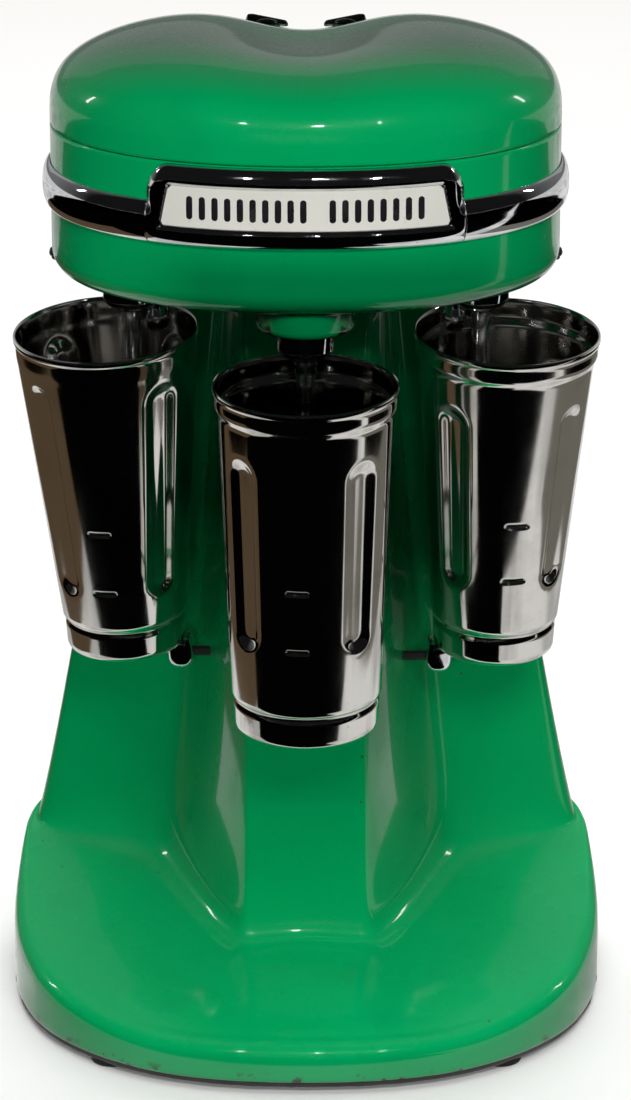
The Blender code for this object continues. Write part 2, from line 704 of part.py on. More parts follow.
# ---- motors and spindles ------------------------------------------------------------------
def make_motor_bridge():
    """A three-armed plate on posts that carries the upper bearings."""
    curve = bpy.data.curves.new("bridge_outline", "CURVE")
    curve.dimensions = "2D"
    curve.fill_mode = "BOTH"
    curve.extrude = BRIDGE_THICKNESS / 2
    outline = []
    centres = [STATIONS[name]["spindle"] for name in ("centre", "right", "left")]
    for index, (x, y) in enumerate(centres):
        middle = -90.0 + 120.0 * index
        for step in range(7):
            turn = math.radians(middle - 60.0 + 20.0 * step)
            outline.append((x + BRIDGE_ARM * math.cos(turn), y + BRIDGE_ARM * math.sin(turn)))
    spline = curve.splines.new("POLY")
    spline.points.add(len(outline) - 1)
    for point, (x, y) in zip(spline.points, outline):
        point.co = (x, y, 0.0, 1.0)
    spline.use_cyclic_u = True
    source = bpy.data.objects.new("bridge_outline", curve)
    PARTS.objects.link(source)
    source.location = (0.0, 0.0, BRIDGE_BOTTOM + BRIDGE_THICKNESS / 2)
    bpy.context.view_layer.update()
    evaluated = source.evaluated_get(bpy.context.evaluated_depsgraph_get())
    mesh = bpy.data.meshes.new_from_object(evaluated)
    bm = bmesh.new()
    bm.from_mesh(mesh)
    bmesh.ops.remove_doubles(bm, verts=bm.verts, dist=0.00001)
    bm.to_mesh(mesh)
    bm.free()
    mesh.materials.clear()
    bridge = add_object("motor_bridge", mesh, ZINC)
    bridge.matrix_world = source.matrix_world.copy()
    bpy.data.objects.remove(source, do_unlink=True)
    for index, (x, y) in enumerate(BRIDGE_POSTS):
        post = cylinder("post_%d" % index, 0.004, HOUSING_FLOOR + HOUSING_WALL + GAP,
                        BRIDGE_BOTTOM + 0.001, ZINC, SMALL)
        post.location = (x, y, 0.0)
        boolean(bridge, as_cutter(post), "UNION")
    for name, station in STATIONS.items():
        x, y = station["spindle"]
        boolean(bridge, bore("bridge_way_" + name, BEARING_RADIUS + GAP, BRIDGE_BOTTOM - 0.01,
                             BRIDGE_BOTTOM + 0.02, x, y, ROUND), "DIFFERENCE")
    return bridge


def ring_profile(inner, outer, bottom, top):
    return [(inner, top), (outer, top), (outer, bottom), (inner, bottom)]


def make_motor(name, station):
    x, y = station["spindle"]
    stator_top = BRIDGE_BOTTOM - GAP
    coil = 0.0045
    profile = [(0.0135, stator_top), (0.0200, stator_top), (0.0200, stator_top - coil),
               (STATOR_RADIUS, stator_top - coil), (STATOR_RADIUS, STATOR_BOTTOM + coil),
               (0.0200, STATOR_BOTTOM + coil), (0.0200, STATOR_BOTTOM), (0.0135, STATOR_BOTTOM)]
    stator = turned("stator_" + name, profile, MOTOR_IRON, ROUND, closed=True)
    stator.location = (x, y, 0.0)
    bore_radius = SHAFT_RADIUS + GAP
    rotor = turned("rotor_" + name, ring_profile(bore_radius, 0.0128, STATOR_BOTTOM + 0.003,
                                                 stator_top - 0.003), MOTOR_IRON, ROUND, closed=True)
    rotor.location = (x, y, 0.0)
    seat = BOSS_BOTTOM + 0.004 + GAP
    for level, bottom in (("lower", seat), ("upper", BRIDGE_BOTTOM + 0.0010)):
        bearing = turned(level + "_bearing_" + name,
                         ring_profile(bore_radius, BEARING_RADIUS, bottom,
                                      bottom + BEARING_HEIGHT), BRASS, ROUND, closed=True)
        bearing.location = (x, y, 0.0)


def make_spindle(name, station):
    """Shaft, collar and agitator; all three turn together on the shaft's axis."""
    x, y = station["spindle"]
    tip = station["foot"][2] + AGITATOR_LIFT - 0.006
    profile = [(0.0, SHAFT_TOP), (SHAFT_RADIUS - 0.0006, SHAFT_TOP),
               (SHAFT_RADIUS, SHAFT_TOP - 0.0006), (SHAFT_RADIUS, tip + 0.012),
               (0.0030, tip + 0.012), (0.0030, tip), (0.0, tip)]
    shaft = turned("spindle_" + name, profile, STEEL, ROUND)
    shaft.location = (x, y, 0.0)
    top = BOSS_BOTTOM - 0.0006
    bore_radius = SHAFT_RADIUS + GAP
    profile = [(bore_radius, top), (COLLAR_RADIUS - 0.0012, top), (COLLAR_RADIUS, top - 0.0012),
               (COLLAR_RADIUS, top - 0.0070), (COLLAR_RADIUS - 0.0020, top - 0.0085),
               (COLLAR_RADIUS - 0.0020, COLLAR_BOTTOM + 0.0015),
               (COLLAR_RADIUS - 0.0035, COLLAR_BOTTOM), (bore_radius, COLLAR_BOTTOM)]
    collar = turned("collar_" + name, profile, CHROME, ROUND, closed=True)
    collar.location = (x, y, 0.0)
    make_agitator(name, x, y, tip + 0.006)


def make_agitator(name, x, y, z):
    """A wavy beater disc with a hub, pressed on the shaft's thin end."""
    bm = bmesh.new()
    points = 24
    hub = 0.0034
    rim_top = []
    rim_low = []
    hub_top = []
    hub_low = []
    for index in range(points):
        turn = 2.0 * math.pi * index / points
        wave = AGITATOR_WAVE * math.cos(4.0 * turn)
        cosine, sine = math.cos(turn), math.sin(turn)
        x_rim, y_rim = AGITATOR_RADIUS * cosine, AGITATOR_RADIUS * sine
        rim_top.append(bm.verts.new((x_rim, y_rim, 0.0009 + wave)))
        rim_low.append(bm.verts.new((x_rim, y_rim, -0.0009 + wave)))
        hub_top.append(bm.verts.new((hub * cosine, hub * sine, 0.0028)))
        hub_low.append(bm.verts.new((hub * cosine, hub * sine, -0.0028)))
    loops = [hub_low, rim_low, rim_top, hub_top]
    for first, second in zip(loops, loops[1:] + loops[:1]):
        for index in range(points):
            after = (index + 1) % points
            bm.faces.new((first[index], first[after], second[after], second[index]))
    agitator = add_object("agitator_" + name, mesh_from(bm, "agitator_" + name), STEEL)
    agitator.location = (x, y, z)
    return agitator


# ---- cups, rests and hooks ----------------------------------------------------------------
def cup_axis(station):
    return (Vector(station["rim"]) - Vector(station["foot"])).normalized()


def aim(made, place, direction):
    """Put an object at a place with its own Z along a direction."""
    made.rotation_mode = "QUATERNION"
    made.rotation_quaternion = Vector(direction).to_track_quat("Z", "Y")
    made.location = place
    return made


def cup_profile(station, shoulder):
    """Section of the drawn steel cup: rolled rim, shoulder step, taper and pressed foot."""
    bottom_radius, top_radius = station["radii"]
    length = (Vector(station["rim"]) - Vector(station["foot"])).length
    band = CUP_BAND
    body_top = length - (SHOULDER_DROP if shoulder else 0.008)
    step = 0.0016 if shoulder else 0.0004
    outer = [(top_radius + CUP_BEAD, length - 0.0008), (top_radius + CUP_BEAD, length - 0.0026),
             (top_radius, length - 0.0036), (top_radius - 0.0004, body_top + 0.003),
             (top_radius - step, body_top),
             (bottom_radius + 0.0008, band + 0.0020), (bottom_radius - 0.0004, band),
             (bottom_radius, band - 0.0020), (bottom_radius - 0.0006, 0.0016),
             (bottom_radius - 0.0022, 0.0)]
    inner = [(bottom_radius - 0.0034, 0.0), (bottom_radius - 0.0050, CUP_FLOOR), (0.0, CUP_FLOOR)]
    floor = [(0.0, CUP_FLOOR + CUP_WALL), (bottom_radius - 0.0040, CUP_FLOOR + CUP_WALL)]
    wall = [(bottom_radius - CUP_WALL - 0.0006, band),
            (top_radius - step - CUP_WALL, body_top),
            (top_radius - CUP_WALL, length - 0.0036), (top_radius, length)]
    return list(reversed(floor + wall)), outer + inner


def make_cup(name, station, shoulder):
    inside, outside = cup_profile(station, shoulder)
    profile = list(reversed(inside)) + outside
    cup = turned("cup_" + name, profile, STEEL, FINE)
    aim(cup, station["foot"], cup_axis(station))
    return cup


def make_cup_rest(name, station):
    """A chromed ledge under the cup's rear edge, with a lip behind it and a fixing stud."""
    foot = Vector(station["foot"])
    wall = Vector((*REST_PLACES[name], 0.0))
    inward = wall - Vector((foot.x, foot.y, 0.0))
    distance = inward.length
    inward.normalize()
    radius = station["radii"][0]
    half = REST_HALF_WIDTHS[name]
    depth = REST_DEPTH
    outline = [(radius - 0.0115, -GAP - 0.25 * depth), (radius - 0.0100, -GAP),
               (radius + 0.0010, -GAP), (radius + 0.0010, 0.0035), (radius + 0.0032, 0.0035),
               (radius + 0.0042, -0.35 * depth), (distance - 0.0030, -0.40 * depth),
               (distance - 0.0030, -GAP - 0.80 * depth),
               (radius + 0.0010, -GAP - depth),
               (radius - 0.0085, -GAP - depth), (radius - 0.0110, -GAP - 0.75 * depth)]
    rings = [[(along, across, z) for along, z in outline] for across in (-half, half)]
    ledge = loft("cup_rest_" + name, rings, CHROME, cap_first=True, cap_last=True)
    bevel(ledge, 0.0012, 1, 30.0)
    stud = cylinder("rest_stud_" + name, REST_STUD_RADIUS, 0.0, distance + 0.012 - radius,
                    CHROME, SMALL)
    stud.rotation_euler = (0.0, math.pi / 2, 0.0)
    stud.location = (radius + 0.0030, 0.0, -GAP - REST_DEPTH * 0.45)
    empty = bpy.data.objects.new("rest_frame_" + name, None)
    PARTS.objects.link(empty)
    upward = cup_axis(station)
    across = upward.cross(inward).normalized()
    empty.location = foot
    empty.rotation_euler = Matrix((across.cross(upward), across, upward)).transposed().to_euler()
    ledge.parent = empty
    stud.parent = empty
    boolean(ledge, as_cutter(stud), "UNION")
    way = cylinder("rest_way_" + name, REST_STUD_RADIUS + GAP, 0.0, distance + 0.030 - radius,
                   ZINC, SMALL)
    way.rotation_euler = (0.0, math.pi / 2, 0.0)
    way.location = stud.location
    way.parent = empty
    boolean(bpy.data.objects["stand_shell"], as_cutter(way), "DIFFERENCE")
    return ledge


def hook_place(name):
    x, y = STATIONS[name]["spindle"]
    toward_x, toward_y = HOOK_DIRECTIONS[name]
    return x + HOOK_DISTANCE * toward_x, y + HOOK_DISTANCE * toward_y


def make_cup_hook(name):
    """A rounded chrome post under the housing that steadies the cup from inside its rim."""
    x, y = hook_place(name)
    top = HOUSING_FLOOR + HOUSING_WALL + 0.005
    seat = BOSS_BOTTOM - GAP
    profile = [(0.0, top), (HOOK_STEM, top), (HOOK_STEM, seat), (HOOK_RADIUS, seat),
               (HOOK_RADIUS, HOOK_TIP + 0.012), (HOOK_BULB, HOOK_TIP + 0.010),
               (HOOK_BULB, HOOK_TIP + 0.004), (0.0042, HOOK_TIP + 0.001),
               (0.0018, HOOK_TIP), (0.0, HOOK_TIP)]
    hook = turned("cup_hook_" + name, profile, CHROME, SMALL)
    hook.location = (x, y, 0.0)
    return hook


# ---- switches -----------------------------------------------------------------------------
def cover_normal(x, y):
    """Normal of the cover in the fore-and-aft plane, the direction of a switch's stem."""
    step = 0.0005
    slope = (cover_height(x, y + step) - cover_height(x, y - step)) / (2 * step)
    return Vector((0.0, -slope, 1.0)).normalized()


def knob_places():
    places = []
    for name, x, y in (("left", -KNOB_X, KNOB_Y), ("centre", 0.0, REAR_KNOB_Y),
                       ("right", KNOB_X, KNOB_Y)):
        places.append((name, (x, y, cover_height(x, y)), cover_normal(x, y)))
    return places


KNOB_PLACES = knob_places()


def make_knob_mesh(name, thick_end):
    """A round skirt with a wedge-shaped finger bar, thick at one end."""
    skirt = cylinder("knob_skirt_" + name, 0.0070, 0.0016, 0.0036, BLACK, ROUND,
                     top_radius=0.0065)
    bar_rings = []
    for share in (0.0, 0.35, 1.0):
        along = thick_end * mix(-0.0110, 0.0105, share)
        height = mix(0.0044, 0.0078, share)
        half = mix(0.0028, 0.0040, share)
        bar_rings.append([(along, -half, 0.0022), (along, half, 0.0022),
                          (along, half * 0.75, height), (along, -half * 0.75, height)])
    bar = loft("switch_knob_" + name, bar_rings, BLACK, cap_first=True, cap_last=True)
    bevel(bar, 0.0009, 1, 30.0)
    stem = cylinder("knob_stem_" + name, KNOB_STEM, -0.0120, 0.0035, BLACK, SMALL)
    boolean(bar, as_cutter(skirt), "UNION")
    boolean(bar, as_cutter(stem), "UNION")
    return bar, skirt, stem


def make_switch(name, place, normal):
    thick_end = {"left": 1.0, "centre": 1.0, "right": -1.0}[name]
    turn = normal.to_track_quat("Z", "Y")
    for piece in make_knob_mesh(name, thick_end):
        piece.rotation_mode = "QUATERNION"
        piece.rotation_quaternion = turn
        piece.location = place
    low = -COVER_WALL - 0.0170
    high = -COVER_WALL - 0.0034
    body = block("switch_body_" + name, (-0.008, -0.006, low), (0.008, 0.006, high), BLACK)
    way = cylinder("switch_socket_" + name, KNOB_STEM + 0.0004, -0.0125, 0.0, ZINC, SMALL)
    for piece in (body, way):
        piece.rotation_mode = "QUATERNION"
        piece.rotation_quaternion = turn
        piece.location = place
    boolean(body, as_cutter(way), "DIFFERENCE")


# ---- small fixings ------------------------------------------------------------------------
def make_side_screws():
    """Dark screws low on each side of the housing."""
    for side, sign in SIDES:
        lean = SIDE_SCREW_LEAN
        profile = [(0.0, 0.0030), (0.0024, 0.0026), (0.0036, 0.0012), (0.0036, GAP),
                   (SIDE_SCREW_SHANK, GAP), (SIDE_SCREW_SHANK, -0.0080), (0.0, -0.0080)]
        screw = turned("side_screw_" + side, profile, PLATE_PAINT, SMALL)
        screw.rotation_euler = (0.0, sign * (math.pi / 2 + lean), 0.0)
        screw.location = (sign * (HEAD_HALF_WIDTH - HOUSING_ROUND * (1.0 - math.cos(lean))),
                          HEAD_CENTRE_Y, HOUSING_FLOOR + HOUSING_ROUND * (1.0 - math.sin(lean)))
        way = cylinder("side_screw_way_" + side, SIDE_SCREW_SHANK + GAP, -0.012, 0.012, ZINC,
                       SMALL)
        way.rotation_euler = screw.rotation_euler
        way.location = screw.location
        boolean(bpy.data.objects["lower_housing"], as_cutter(way), "DIFFERENCE")


def make_terminal_block():
    """The block inside the stand where the supply meets the motor leads."""
    return block("terminal_block", (-0.018, 0.030, SKIRT_BOTTOM + 0.001),
                 (0.018, 0.050, SKIRT_BOTTOM + 0.015), BLACK)


def main():
    make_stand()
    make_base_plate()
    make_feet()
    make_cord_gland()
    make_terminal_block()
    make_lower_housing()
    make_upper_cover()
    make_neck()
    make_trim_band()
    make_name_plate()
    make_side_screws()
    make_motor_bridge()
    for name, station in STATIONS.items():
        make_motor(name, station)
        make_spindle(name, station)
        make_cup(name, station, shoulder=name != "left")
        make_cup_rest(name, station)
        make_cup_hook(name)
    for name, place, normal in KNOB_PLACES:
        make_switch(name, place, normal)


main()
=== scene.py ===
"""Looks of the three-spindle milkshake mixer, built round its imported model.

Metres, +Z up, front towards -Y, origin on the floor under the middle of the machine.
"""
import json
import math

import bmesh
import bpy
import numpy as np
from mathutils import Matrix, Vector


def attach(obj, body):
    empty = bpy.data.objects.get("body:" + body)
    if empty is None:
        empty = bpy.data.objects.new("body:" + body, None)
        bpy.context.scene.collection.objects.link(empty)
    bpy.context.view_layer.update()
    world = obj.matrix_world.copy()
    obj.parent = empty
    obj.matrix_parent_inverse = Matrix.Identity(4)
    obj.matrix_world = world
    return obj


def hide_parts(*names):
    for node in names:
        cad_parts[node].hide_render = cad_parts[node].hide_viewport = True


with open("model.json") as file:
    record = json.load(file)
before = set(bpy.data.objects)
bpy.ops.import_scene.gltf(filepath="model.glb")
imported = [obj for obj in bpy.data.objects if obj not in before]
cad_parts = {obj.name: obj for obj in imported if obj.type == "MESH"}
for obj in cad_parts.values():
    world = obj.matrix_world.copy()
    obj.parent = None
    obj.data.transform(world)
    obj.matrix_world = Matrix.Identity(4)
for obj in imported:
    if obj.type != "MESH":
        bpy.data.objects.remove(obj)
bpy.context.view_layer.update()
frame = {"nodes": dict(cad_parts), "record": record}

RECORD = frame["record"]
BODY_OF = {node: body for body, members in RECORD["behaviour"]["bodies"].items()
           for node in members}
SLOT_OF = {part["node"]: part["material_slot"] for part in RECORD["subparts"]}
PI = math.pi

# ---- dimensions the looks share with the model
GAP = 0.0003
SHELL_WALL = 0.0026
COVER_WALL = 0.0022
BASE_HALF_WIDTH = 0.1585
BASE_CENTRE_Y = 0.040
BASE_FRONT_REACH = 0.160
BASE_REAR_REACH = 0.080
BASE_FRONT_POWER = 2.3
BASE_REAR_POWER = 8.0
BASE_REAR_TAPER = 0.082
FOOT_HEIGHT = 0.0030
PLATE_THICKNESS = 0.0027
SKIRT_BOTTOM = FOOT_HEIGHT + PLATE_THICKNESS + 2 * GAP
LIP_RADIUS = 0.0098
RIM_DROOP = 0.0052
TRAY_FRONT_Z = 0.0275
TRAY_RISE = math.tan(math.radians(12.0))
FOOT_FILLET = 0.0135
PIER_TOP = 0.4065
HOUSING_FLOOR = 0.4085
HEAD_HALF_WIDTH = 0.1285
HEAD_HALF_DEPTH = 0.0995
HEAD_CENTRE_Y = -0.004
HEAD_POWER = 2.15
HEAD_SEAM = 0.485
HOUSING_ROUND = 0.012
COVER_LIP = 0.0030
COVER_RISE = 0.0448
COVER_POWER = 3.1
SADDLE_DEPTH = 0.0150
SADDLE_WIDTH = 0.040
BAND_BOTTOM = 0.4435
BAND_TOP = 0.4650
BEZEL_TOP = HEAD_SEAM - GAP
SHOULDER_TOP = 0.0655
SHOULDER_FOOT = 0.0770
BAND_ROLL = 0.0098
PLATE_BOTTOM = 0.4540
PLATE_TOP = 0.4745
PLATE_HALF_BOTTOM = 0.0690
PLATE_HALF_TOP = 0.0650
SHAFT_RADIUS = 0.0050
SHAFT_TOP = 0.4835
BOSS_RADIUS = 0.0265
BOSS_BOTTOM = 0.3930
COLLAR_RADIUS = 0.0145
COLLAR_BOTTOM = 0.3775
AGITATOR_LIFT = 0.032
GLAND_HEIGHT = 0.034
KNOB_X = 0.0205
KNOB_Y = 0.0850
REAR_KNOB_Y = 0.0945
REST_DEPTH = 0.0150
REST_HALF_WIDTH = {"left": 0.0058, "centre": 0.0130, "right": 0.0058}
STEM_RADIUS = 0.0025
HOOK_DISTANCE = 0.0215
HOOK_TIP = 0.3600
HOOK_DIRECTIONS = {"left": (0.6, 0.8), "centre": (0.0, 1.0), "right": (-0.6, 0.8)}
REST_PLACES = {"left": (-0.0515, 0.0290), "centre": (0.0, -0.0155), "right": (0.0515, 0.0290)}
FOOT_PLACES = {"front_left": (-0.1005, -0.0755), "front_right": (0.1005, -0.0755),
               "rear_left": (-0.128, 0.088), "rear_right": (0.128, 0.088)}
STATIONS = {
    "left": {"spindle": (-0.0900, 0.0240), "foot": (-0.0945, 0.0330, 0.1930),
             "rim": (-0.1030, 0.0180, 0.3680), "radii": (0.0315, 0.0475)},
    "centre": {"spindle": (0.0, -0.0660), "foot": (0.0, -0.0690, 0.1850),
               "rim": (0.0, -0.0780, 0.3680), "radii": (0.0372, 0.0462)},
    "right": {"spindle": (0.0900, 0.0240), "foot": (0.0985, 0.0330, 0.1910),
              "rim": (0.1035, 0.0180, 0.3670), "radii": (0.0320, 0.0478)},
}


# ---- numbers
def mix(first, second, share):
    return first + (second - first) * share


def smooth_step(value):
    value = np.clip(value, 0.0, 1.0)
    return value * value * (3.0 - 2.0 * value)


def signed_power(value, power):
    return np.sign(value) * np.abs(value) ** power


# ---- procedural finishes
def new_node(tree, kind, **inputs):
    """A new shader node; inputs are named with _ for a space."""
    made = tree.nodes.new("ShaderNode" + kind)
    for key, value in inputs.items():
        made.inputs[key.replace("_", " ")].default_value = value
    return made


class Finish:
    """A Principled material with helpers for its colour, roughness and bump patterns."""

    def __init__(self, name, colour, roughness, metallic=0.0, coat=0.0, coat_roughness=0.03):
        self.material = bpy.data.materials.new(name)
        self.material.use_nodes = True
        self.tree = self.material.node_tree
        self.shader = self.tree.nodes["Principled BSDF"]
        for key, value in (("Base Color", (*colour, 1.0)), ("Roughness", roughness),
                           ("Metallic", metallic), ("Coat Weight", coat),
                           ("Coat Roughness", coat_roughness)):
            self.shader.inputs[key].default_value = value
        self.coords = self.node("TexCoord").outputs["Object"]
        self.colour = None
        self.bump = None

    def link(self, source, target):
        self.tree.links.new(source, target)

    def node(self, kind, **inputs):
        return new_node(self.tree, kind, **inputs)

    def noise(self, scale, detail=3.0, rough=0.5, stretch=(1.0, 1.0, 1.0)):
        mapping = self.node("Mapping", Scale=stretch)
        self.link(self.coords, mapping.inputs["Vector"])
        noise = self.node("TexNoise", Scale=scale, Detail=detail, Roughness=rough)
        self.link(mapping.outputs["Vector"], noise.inputs["Vector"])
        return noise.outputs["Fac"]

    def spots(self, scale, size, share):
        """1 inside a few small round spots, 0 elsewhere."""
        cells = self.node("TexVoronoi", Scale=scale)
        self.link(self.coords, cells.inputs["Vector"])
        near = self.ranged(cells.outputs["Distance"], size, size * 0.6, 0.0, 1.0)
        split = self.node("SeparateColor")
        self.link(cells.outputs["Color"], split.inputs["Color"])
        chosen = self.ranged(split.outputs["Red"], share, share * 0.98, 0.0, 1.0)
        return self.maths("MULTIPLY", near, chosen)

    def height_mask(self, low, high):
        """1 below height low, 0 above height high."""
        split = self.node("SeparateXYZ")
        self.link(self.coords, split.inputs["Vector"])
        return self.ranged(split.outputs["Z"], low, high, 1.0, 0.0)

    def maths(self, operation, first, second):
        node = self.node("Math")
        node.operation = operation
        for socket, value in zip(node.inputs, (first, second)):
            if isinstance(value, float):
                socket.default_value = value
            else:
                self.link(value, socket)
        return node.outputs["Value"]

    def ranged(self, value, low, high, to_low, to_high):
        node = self.node("MapRange", From_Min=low, From_Max=high, To_Min=to_low, To_Max=to_high)
        self.link(value, node.inputs["Value"])
        return node.outputs["Result"]

    def tint(self, colour, share):
        """Mix a colour over what is there, by a pattern."""
        node = self.node("Mix")
        node.data_type = "RGBA"
        base = self.shader.inputs["Base Color"]
        under, over = (socket for socket in node.inputs if socket.type == "RGBA")
        if self.colour is None:
            under.default_value = base.default_value
        else:
            self.link(self.colour, under)
        over.default_value = (*colour, 1.0)
        self.link(share, node.inputs["Factor"])
        self.colour = next(s for s in node.outputs if s.type == "RGBA")
        self.link(self.colour, base)

    def mottle(self, colour, low, high, share, *noise):
        """Mix up to a share of a colour in where noise(*noise) passes from low to high."""
        self.tint(colour, self.ranged(self.noise(*noise), low, high, 0.0, share))

    def roughen(self, low, high, *noise):
        """Roughness from low to high by noise(*noise)."""
        self.link(self.ranged(self.noise(*noise), 0.3, 0.7, low, high),
                  self.shader.inputs["Roughness"])

    def grain(self, depth, strength, *noise):
        """Bump from noise(*noise), depth in metres; calls add up."""
        node = self.node("Bump", Strength=strength, Distance=depth)
        self.link(self.noise(*noise), node.inputs["Height"])
        if self.bump is not None:
            self.link(self.bump, node.inputs["Normal"])
        self.bump = node.outputs["Normal"]
        self.link(self.bump, self.shader.inputs["Normal"])
        if self.shader.inputs["Coat Weight"].default_value > 0.0:
            self.link(self.bump, self.shader.inputs["Coat Normal"])


def make_enamel():
    finish = Finish("vitreous_enamel", (0.0, 0.285, 0.082), 0.30, coat=0.9, coat_roughness=0.06)
    finish.shader.inputs["Specular IOR Level"].default_value = 0.15
    finish.mottle((0.0, 0.35, 0.110), 0.40, 0.72, 0.55, 7.0)
    finish.mottle((0.0, 0.20, 0.06), 0.55, 0.80, 0.35, 21.0, 4.0)
    finish.tint((0.05, 0.030, 0.016), finish.spots(75.0, 0.055, 0.30))
    chipped = finish.maths("MULTIPLY", finish.height_mask(0.0075, 0.0125),
                           finish.ranged(finish.noise(120.0, 4.0), 0.60, 0.64, 0.0, 1.0))
    finish.tint((0.030, 0.026, 0.024), chipped)
    finish.roughen(0.23, 0.31, 34.0, 5.0)
    finish.grain(0.0011, 0.10, 13.0, 2.0)
    finish.grain(0.00006, 0.22, 420.0, 2.0)
    return finish.material


def make_chrome():
    finish = Finish("mirror_chrome", (0.78, 0.79, 0.82), 0.06, metallic=1.0)
    finish.mottle((0.56, 0.55, 0.56), 0.52, 0.78, 0.5, 46.0, 5.0)
    finish.tint((0.10, 0.07, 0.05), finish.spots(260.0, 0.10, 0.16))
    finish.roughen(0.02, 0.09, 70.0, 5.0)
    finish.grain(0.0006, 0.12, 38.0, 2.0)
    finish.grain(0.00001, 0.10, 900.0, 3.0, 0.6, (1.0, 1.0, 0.25))
    return finish.material


def make_cup_steel():
    finish = Finish("polished_steel", (0.72, 0.705, 0.68), 0.08, metallic=1.0)
    finish.mottle((0.47, 0.455, 0.43), 0.50, 0.76, 0.65, 24.0, 6.0, 0.62)
    finish.mottle((0.30, 0.27, 0.23), 0.66, 0.80, 0.5, 110.0, 5.0, 0.7)
    finish.roughen(0.03, 0.15, 30.0, 6.0, 0.65, (1.0, 1.0, 0.35))
    finish.grain(0.0008, 0.10, 15.0, 2.0)
    finish.grain(0.00002, 0.14, 30.0, 3.0, 0.6, (1.0, 1.0, 60.0))
    finish.grain(0.00001, 0.12, 900.0, 2.0, 0.6, (1.0, 1.0, 0.04))
    return finish.material


def make_shaft_steel():
    finish = Finish("turned_steel", (0.74, 0.74, 0.75), 0.08, metallic=1.0)
    finish.mottle((0.42, 0.41, 0.40), 0.52, 0.78, 0.6, 60.0, 5.0)
    finish.roughen(0.04, 0.13, 45.0, 4.0, 0.6, (1.0, 1.0, 30.0))
    finish.grain(0.00003, 0.4, 60.0, 3.0, 0.6, (1.0, 1.0, 60.0))
    return finish.material


def make_plate_metal():
    finish = Finish("silver_cream_plate", (0.74, 0.73, 0.66), 0.36, metallic=0.20)
    finish.mottle((0.82, 0.81, 0.75), 0.40, 0.75, 0.8, 28.0, 4.0)
    finish.mottle((0.30, 0.28, 0.22), 0.62, 0.82, 0.5, 170.0, 6.0, 0.7)
    finish.roughen(0.28, 0.46, 90.0, 5.0)
    finish.grain(0.00004, 0.4, 600.0, 4.0)
    return finish.material


def make_dark(name, colour, roughness, coarse, depth, wear=(0.07, 0.068, 0.065), coat=0.0):
    """Bakelite, rubber and black paint: a dark base with dust, scuffs and a fine grain."""
    finish = Finish(name, colour, roughness, coat=coat, coat_roughness=0.12)
    finish.mottle(wear, 0.56, 0.80, 0.55, 90.0, 6.0, 0.7)
    finish.roughen(roughness * 0.8, min(1.0, roughness * 1.25), 60.0, 4.0)
    finish.grain(depth, 0.5, coarse, 4.0)
    return finish.material


def make_metal(name, colour, shade, roughness, grain, stretch=(1.0, 1.0, 1.0)):
    """Plated, cast or sintered inner metal with mottling and grain."""
    finish = Finish(name, colour, roughness, metallic=1.0)
    finish.mottle(shade, 0.42, 0.74, 0.8, 55.0, 6.0, 0.65)
    finish.roughen(roughness * 0.75, roughness * 1.3, 80.0, 5.0)
    finish.grain(0.00008, 0.6, grain, 4.0, 0.6, stretch)
    return finish.material


ENAMEL = make_enamel()
CHROME = make_chrome()
CUP_STEEL = make_cup_steel()
SHAFT_STEEL = make_shaft_steel()
PLATE_METAL = make_plate_metal()
BAKELITE = make_dark("black_bakelite_moulding", (0.010, 0.010, 0.011), 0.24, 300.0, 0.00003, coat=0.4)
RUBBER = make_dark("foot_rubber", (0.014, 0.014, 0.014), 0.80, 500.0, 0.00012)
BLACK_PAINT = make_dark("satin_black_paint", (0.012, 0.012, 0.012), 0.48, 380.0, 0.00006)
MOTIF_PAINT = make_dark("motif_paint", (0.010, 0.010, 0.012), 0.30, 300.0, 0.00003)
IRON = make_metal("laminated_iron", (0.20, 0.19, 0.19), (0.10, 0.09, 0.09), 0.50, 120.0,
                  (1.0, 1.0, 12.0))
ZINC = make_metal("zinc_plating", (0.56, 0.57, 0.58), (0.42, 0.42, 0.40), 0.34, 400.0)
BRONZE = make_metal("sintered_bronze", (0.50, 0.34, 0.15), (0.36, 0.22, 0.09), 0.42, 700.0)


# ---- mesh helpers
def shade(mesh, sharp_degrees):
    mesh.shade_smooth()
    mesh.set_sharp_from_angle(angle=math.radians(sharp_degrees))


def finished_object(name, bm, finish, sharp_degrees=40.0):
    bmesh.ops.remove_doubles(bm, verts=bm.verts, dist=0.0000005)
    bmesh.ops.dissolve_degenerate(bm, edges=bm.edges, dist=0.0000001)
    bmesh.ops.recalc_face_normals(bm, faces=bm.faces)
    mesh = bpy.data.meshes.new(name)
    bm.to_mesh(mesh)
    bm.free()
    mesh.materials.append(finish)
    shade(mesh, sharp_degrees)
    made = bpy.data.objects.new(name, mesh)
    bpy.context.scene.collection.objects.link(made)
    return made


def add_rings(bm, rings, closed=False, cap_first=False, cap_last=False):
    """Skin closed rings of equal point counts; closed joins the last ring to the first."""
    loops = [[bm.verts.new(tuple(float(v) for v in point)) for point in ring] for ring in rings]
    count = len(loops[0])
    pairs = list(zip(loops, loops[1:]))
    if closed:
        pairs.append((loops[-1], loops[0]))
    for lower, upper in pairs:
        for index in range(count):
            after = (index + 1) % count
            bm.faces.new((lower[index], lower[after], upper[after], upper[index]))
    for wanted, loop in ((cap_first, loops[0]), (cap_last, loops[-1])):
        if wanted:
            middle = sum((vert.co for vert in loop), Vector()) / count
            hub = bm.verts.new(middle)
            for index in range(count):
                bm.faces.new((loop[index], loop[(index + 1) % count], hub))


def skin(name, rings, finish, sharp_degrees=40.0, **caps):
    bm = bmesh.new()
    add_rings(bm, rings, **caps)
    return finished_object(name, bm, finish, sharp_degrees)


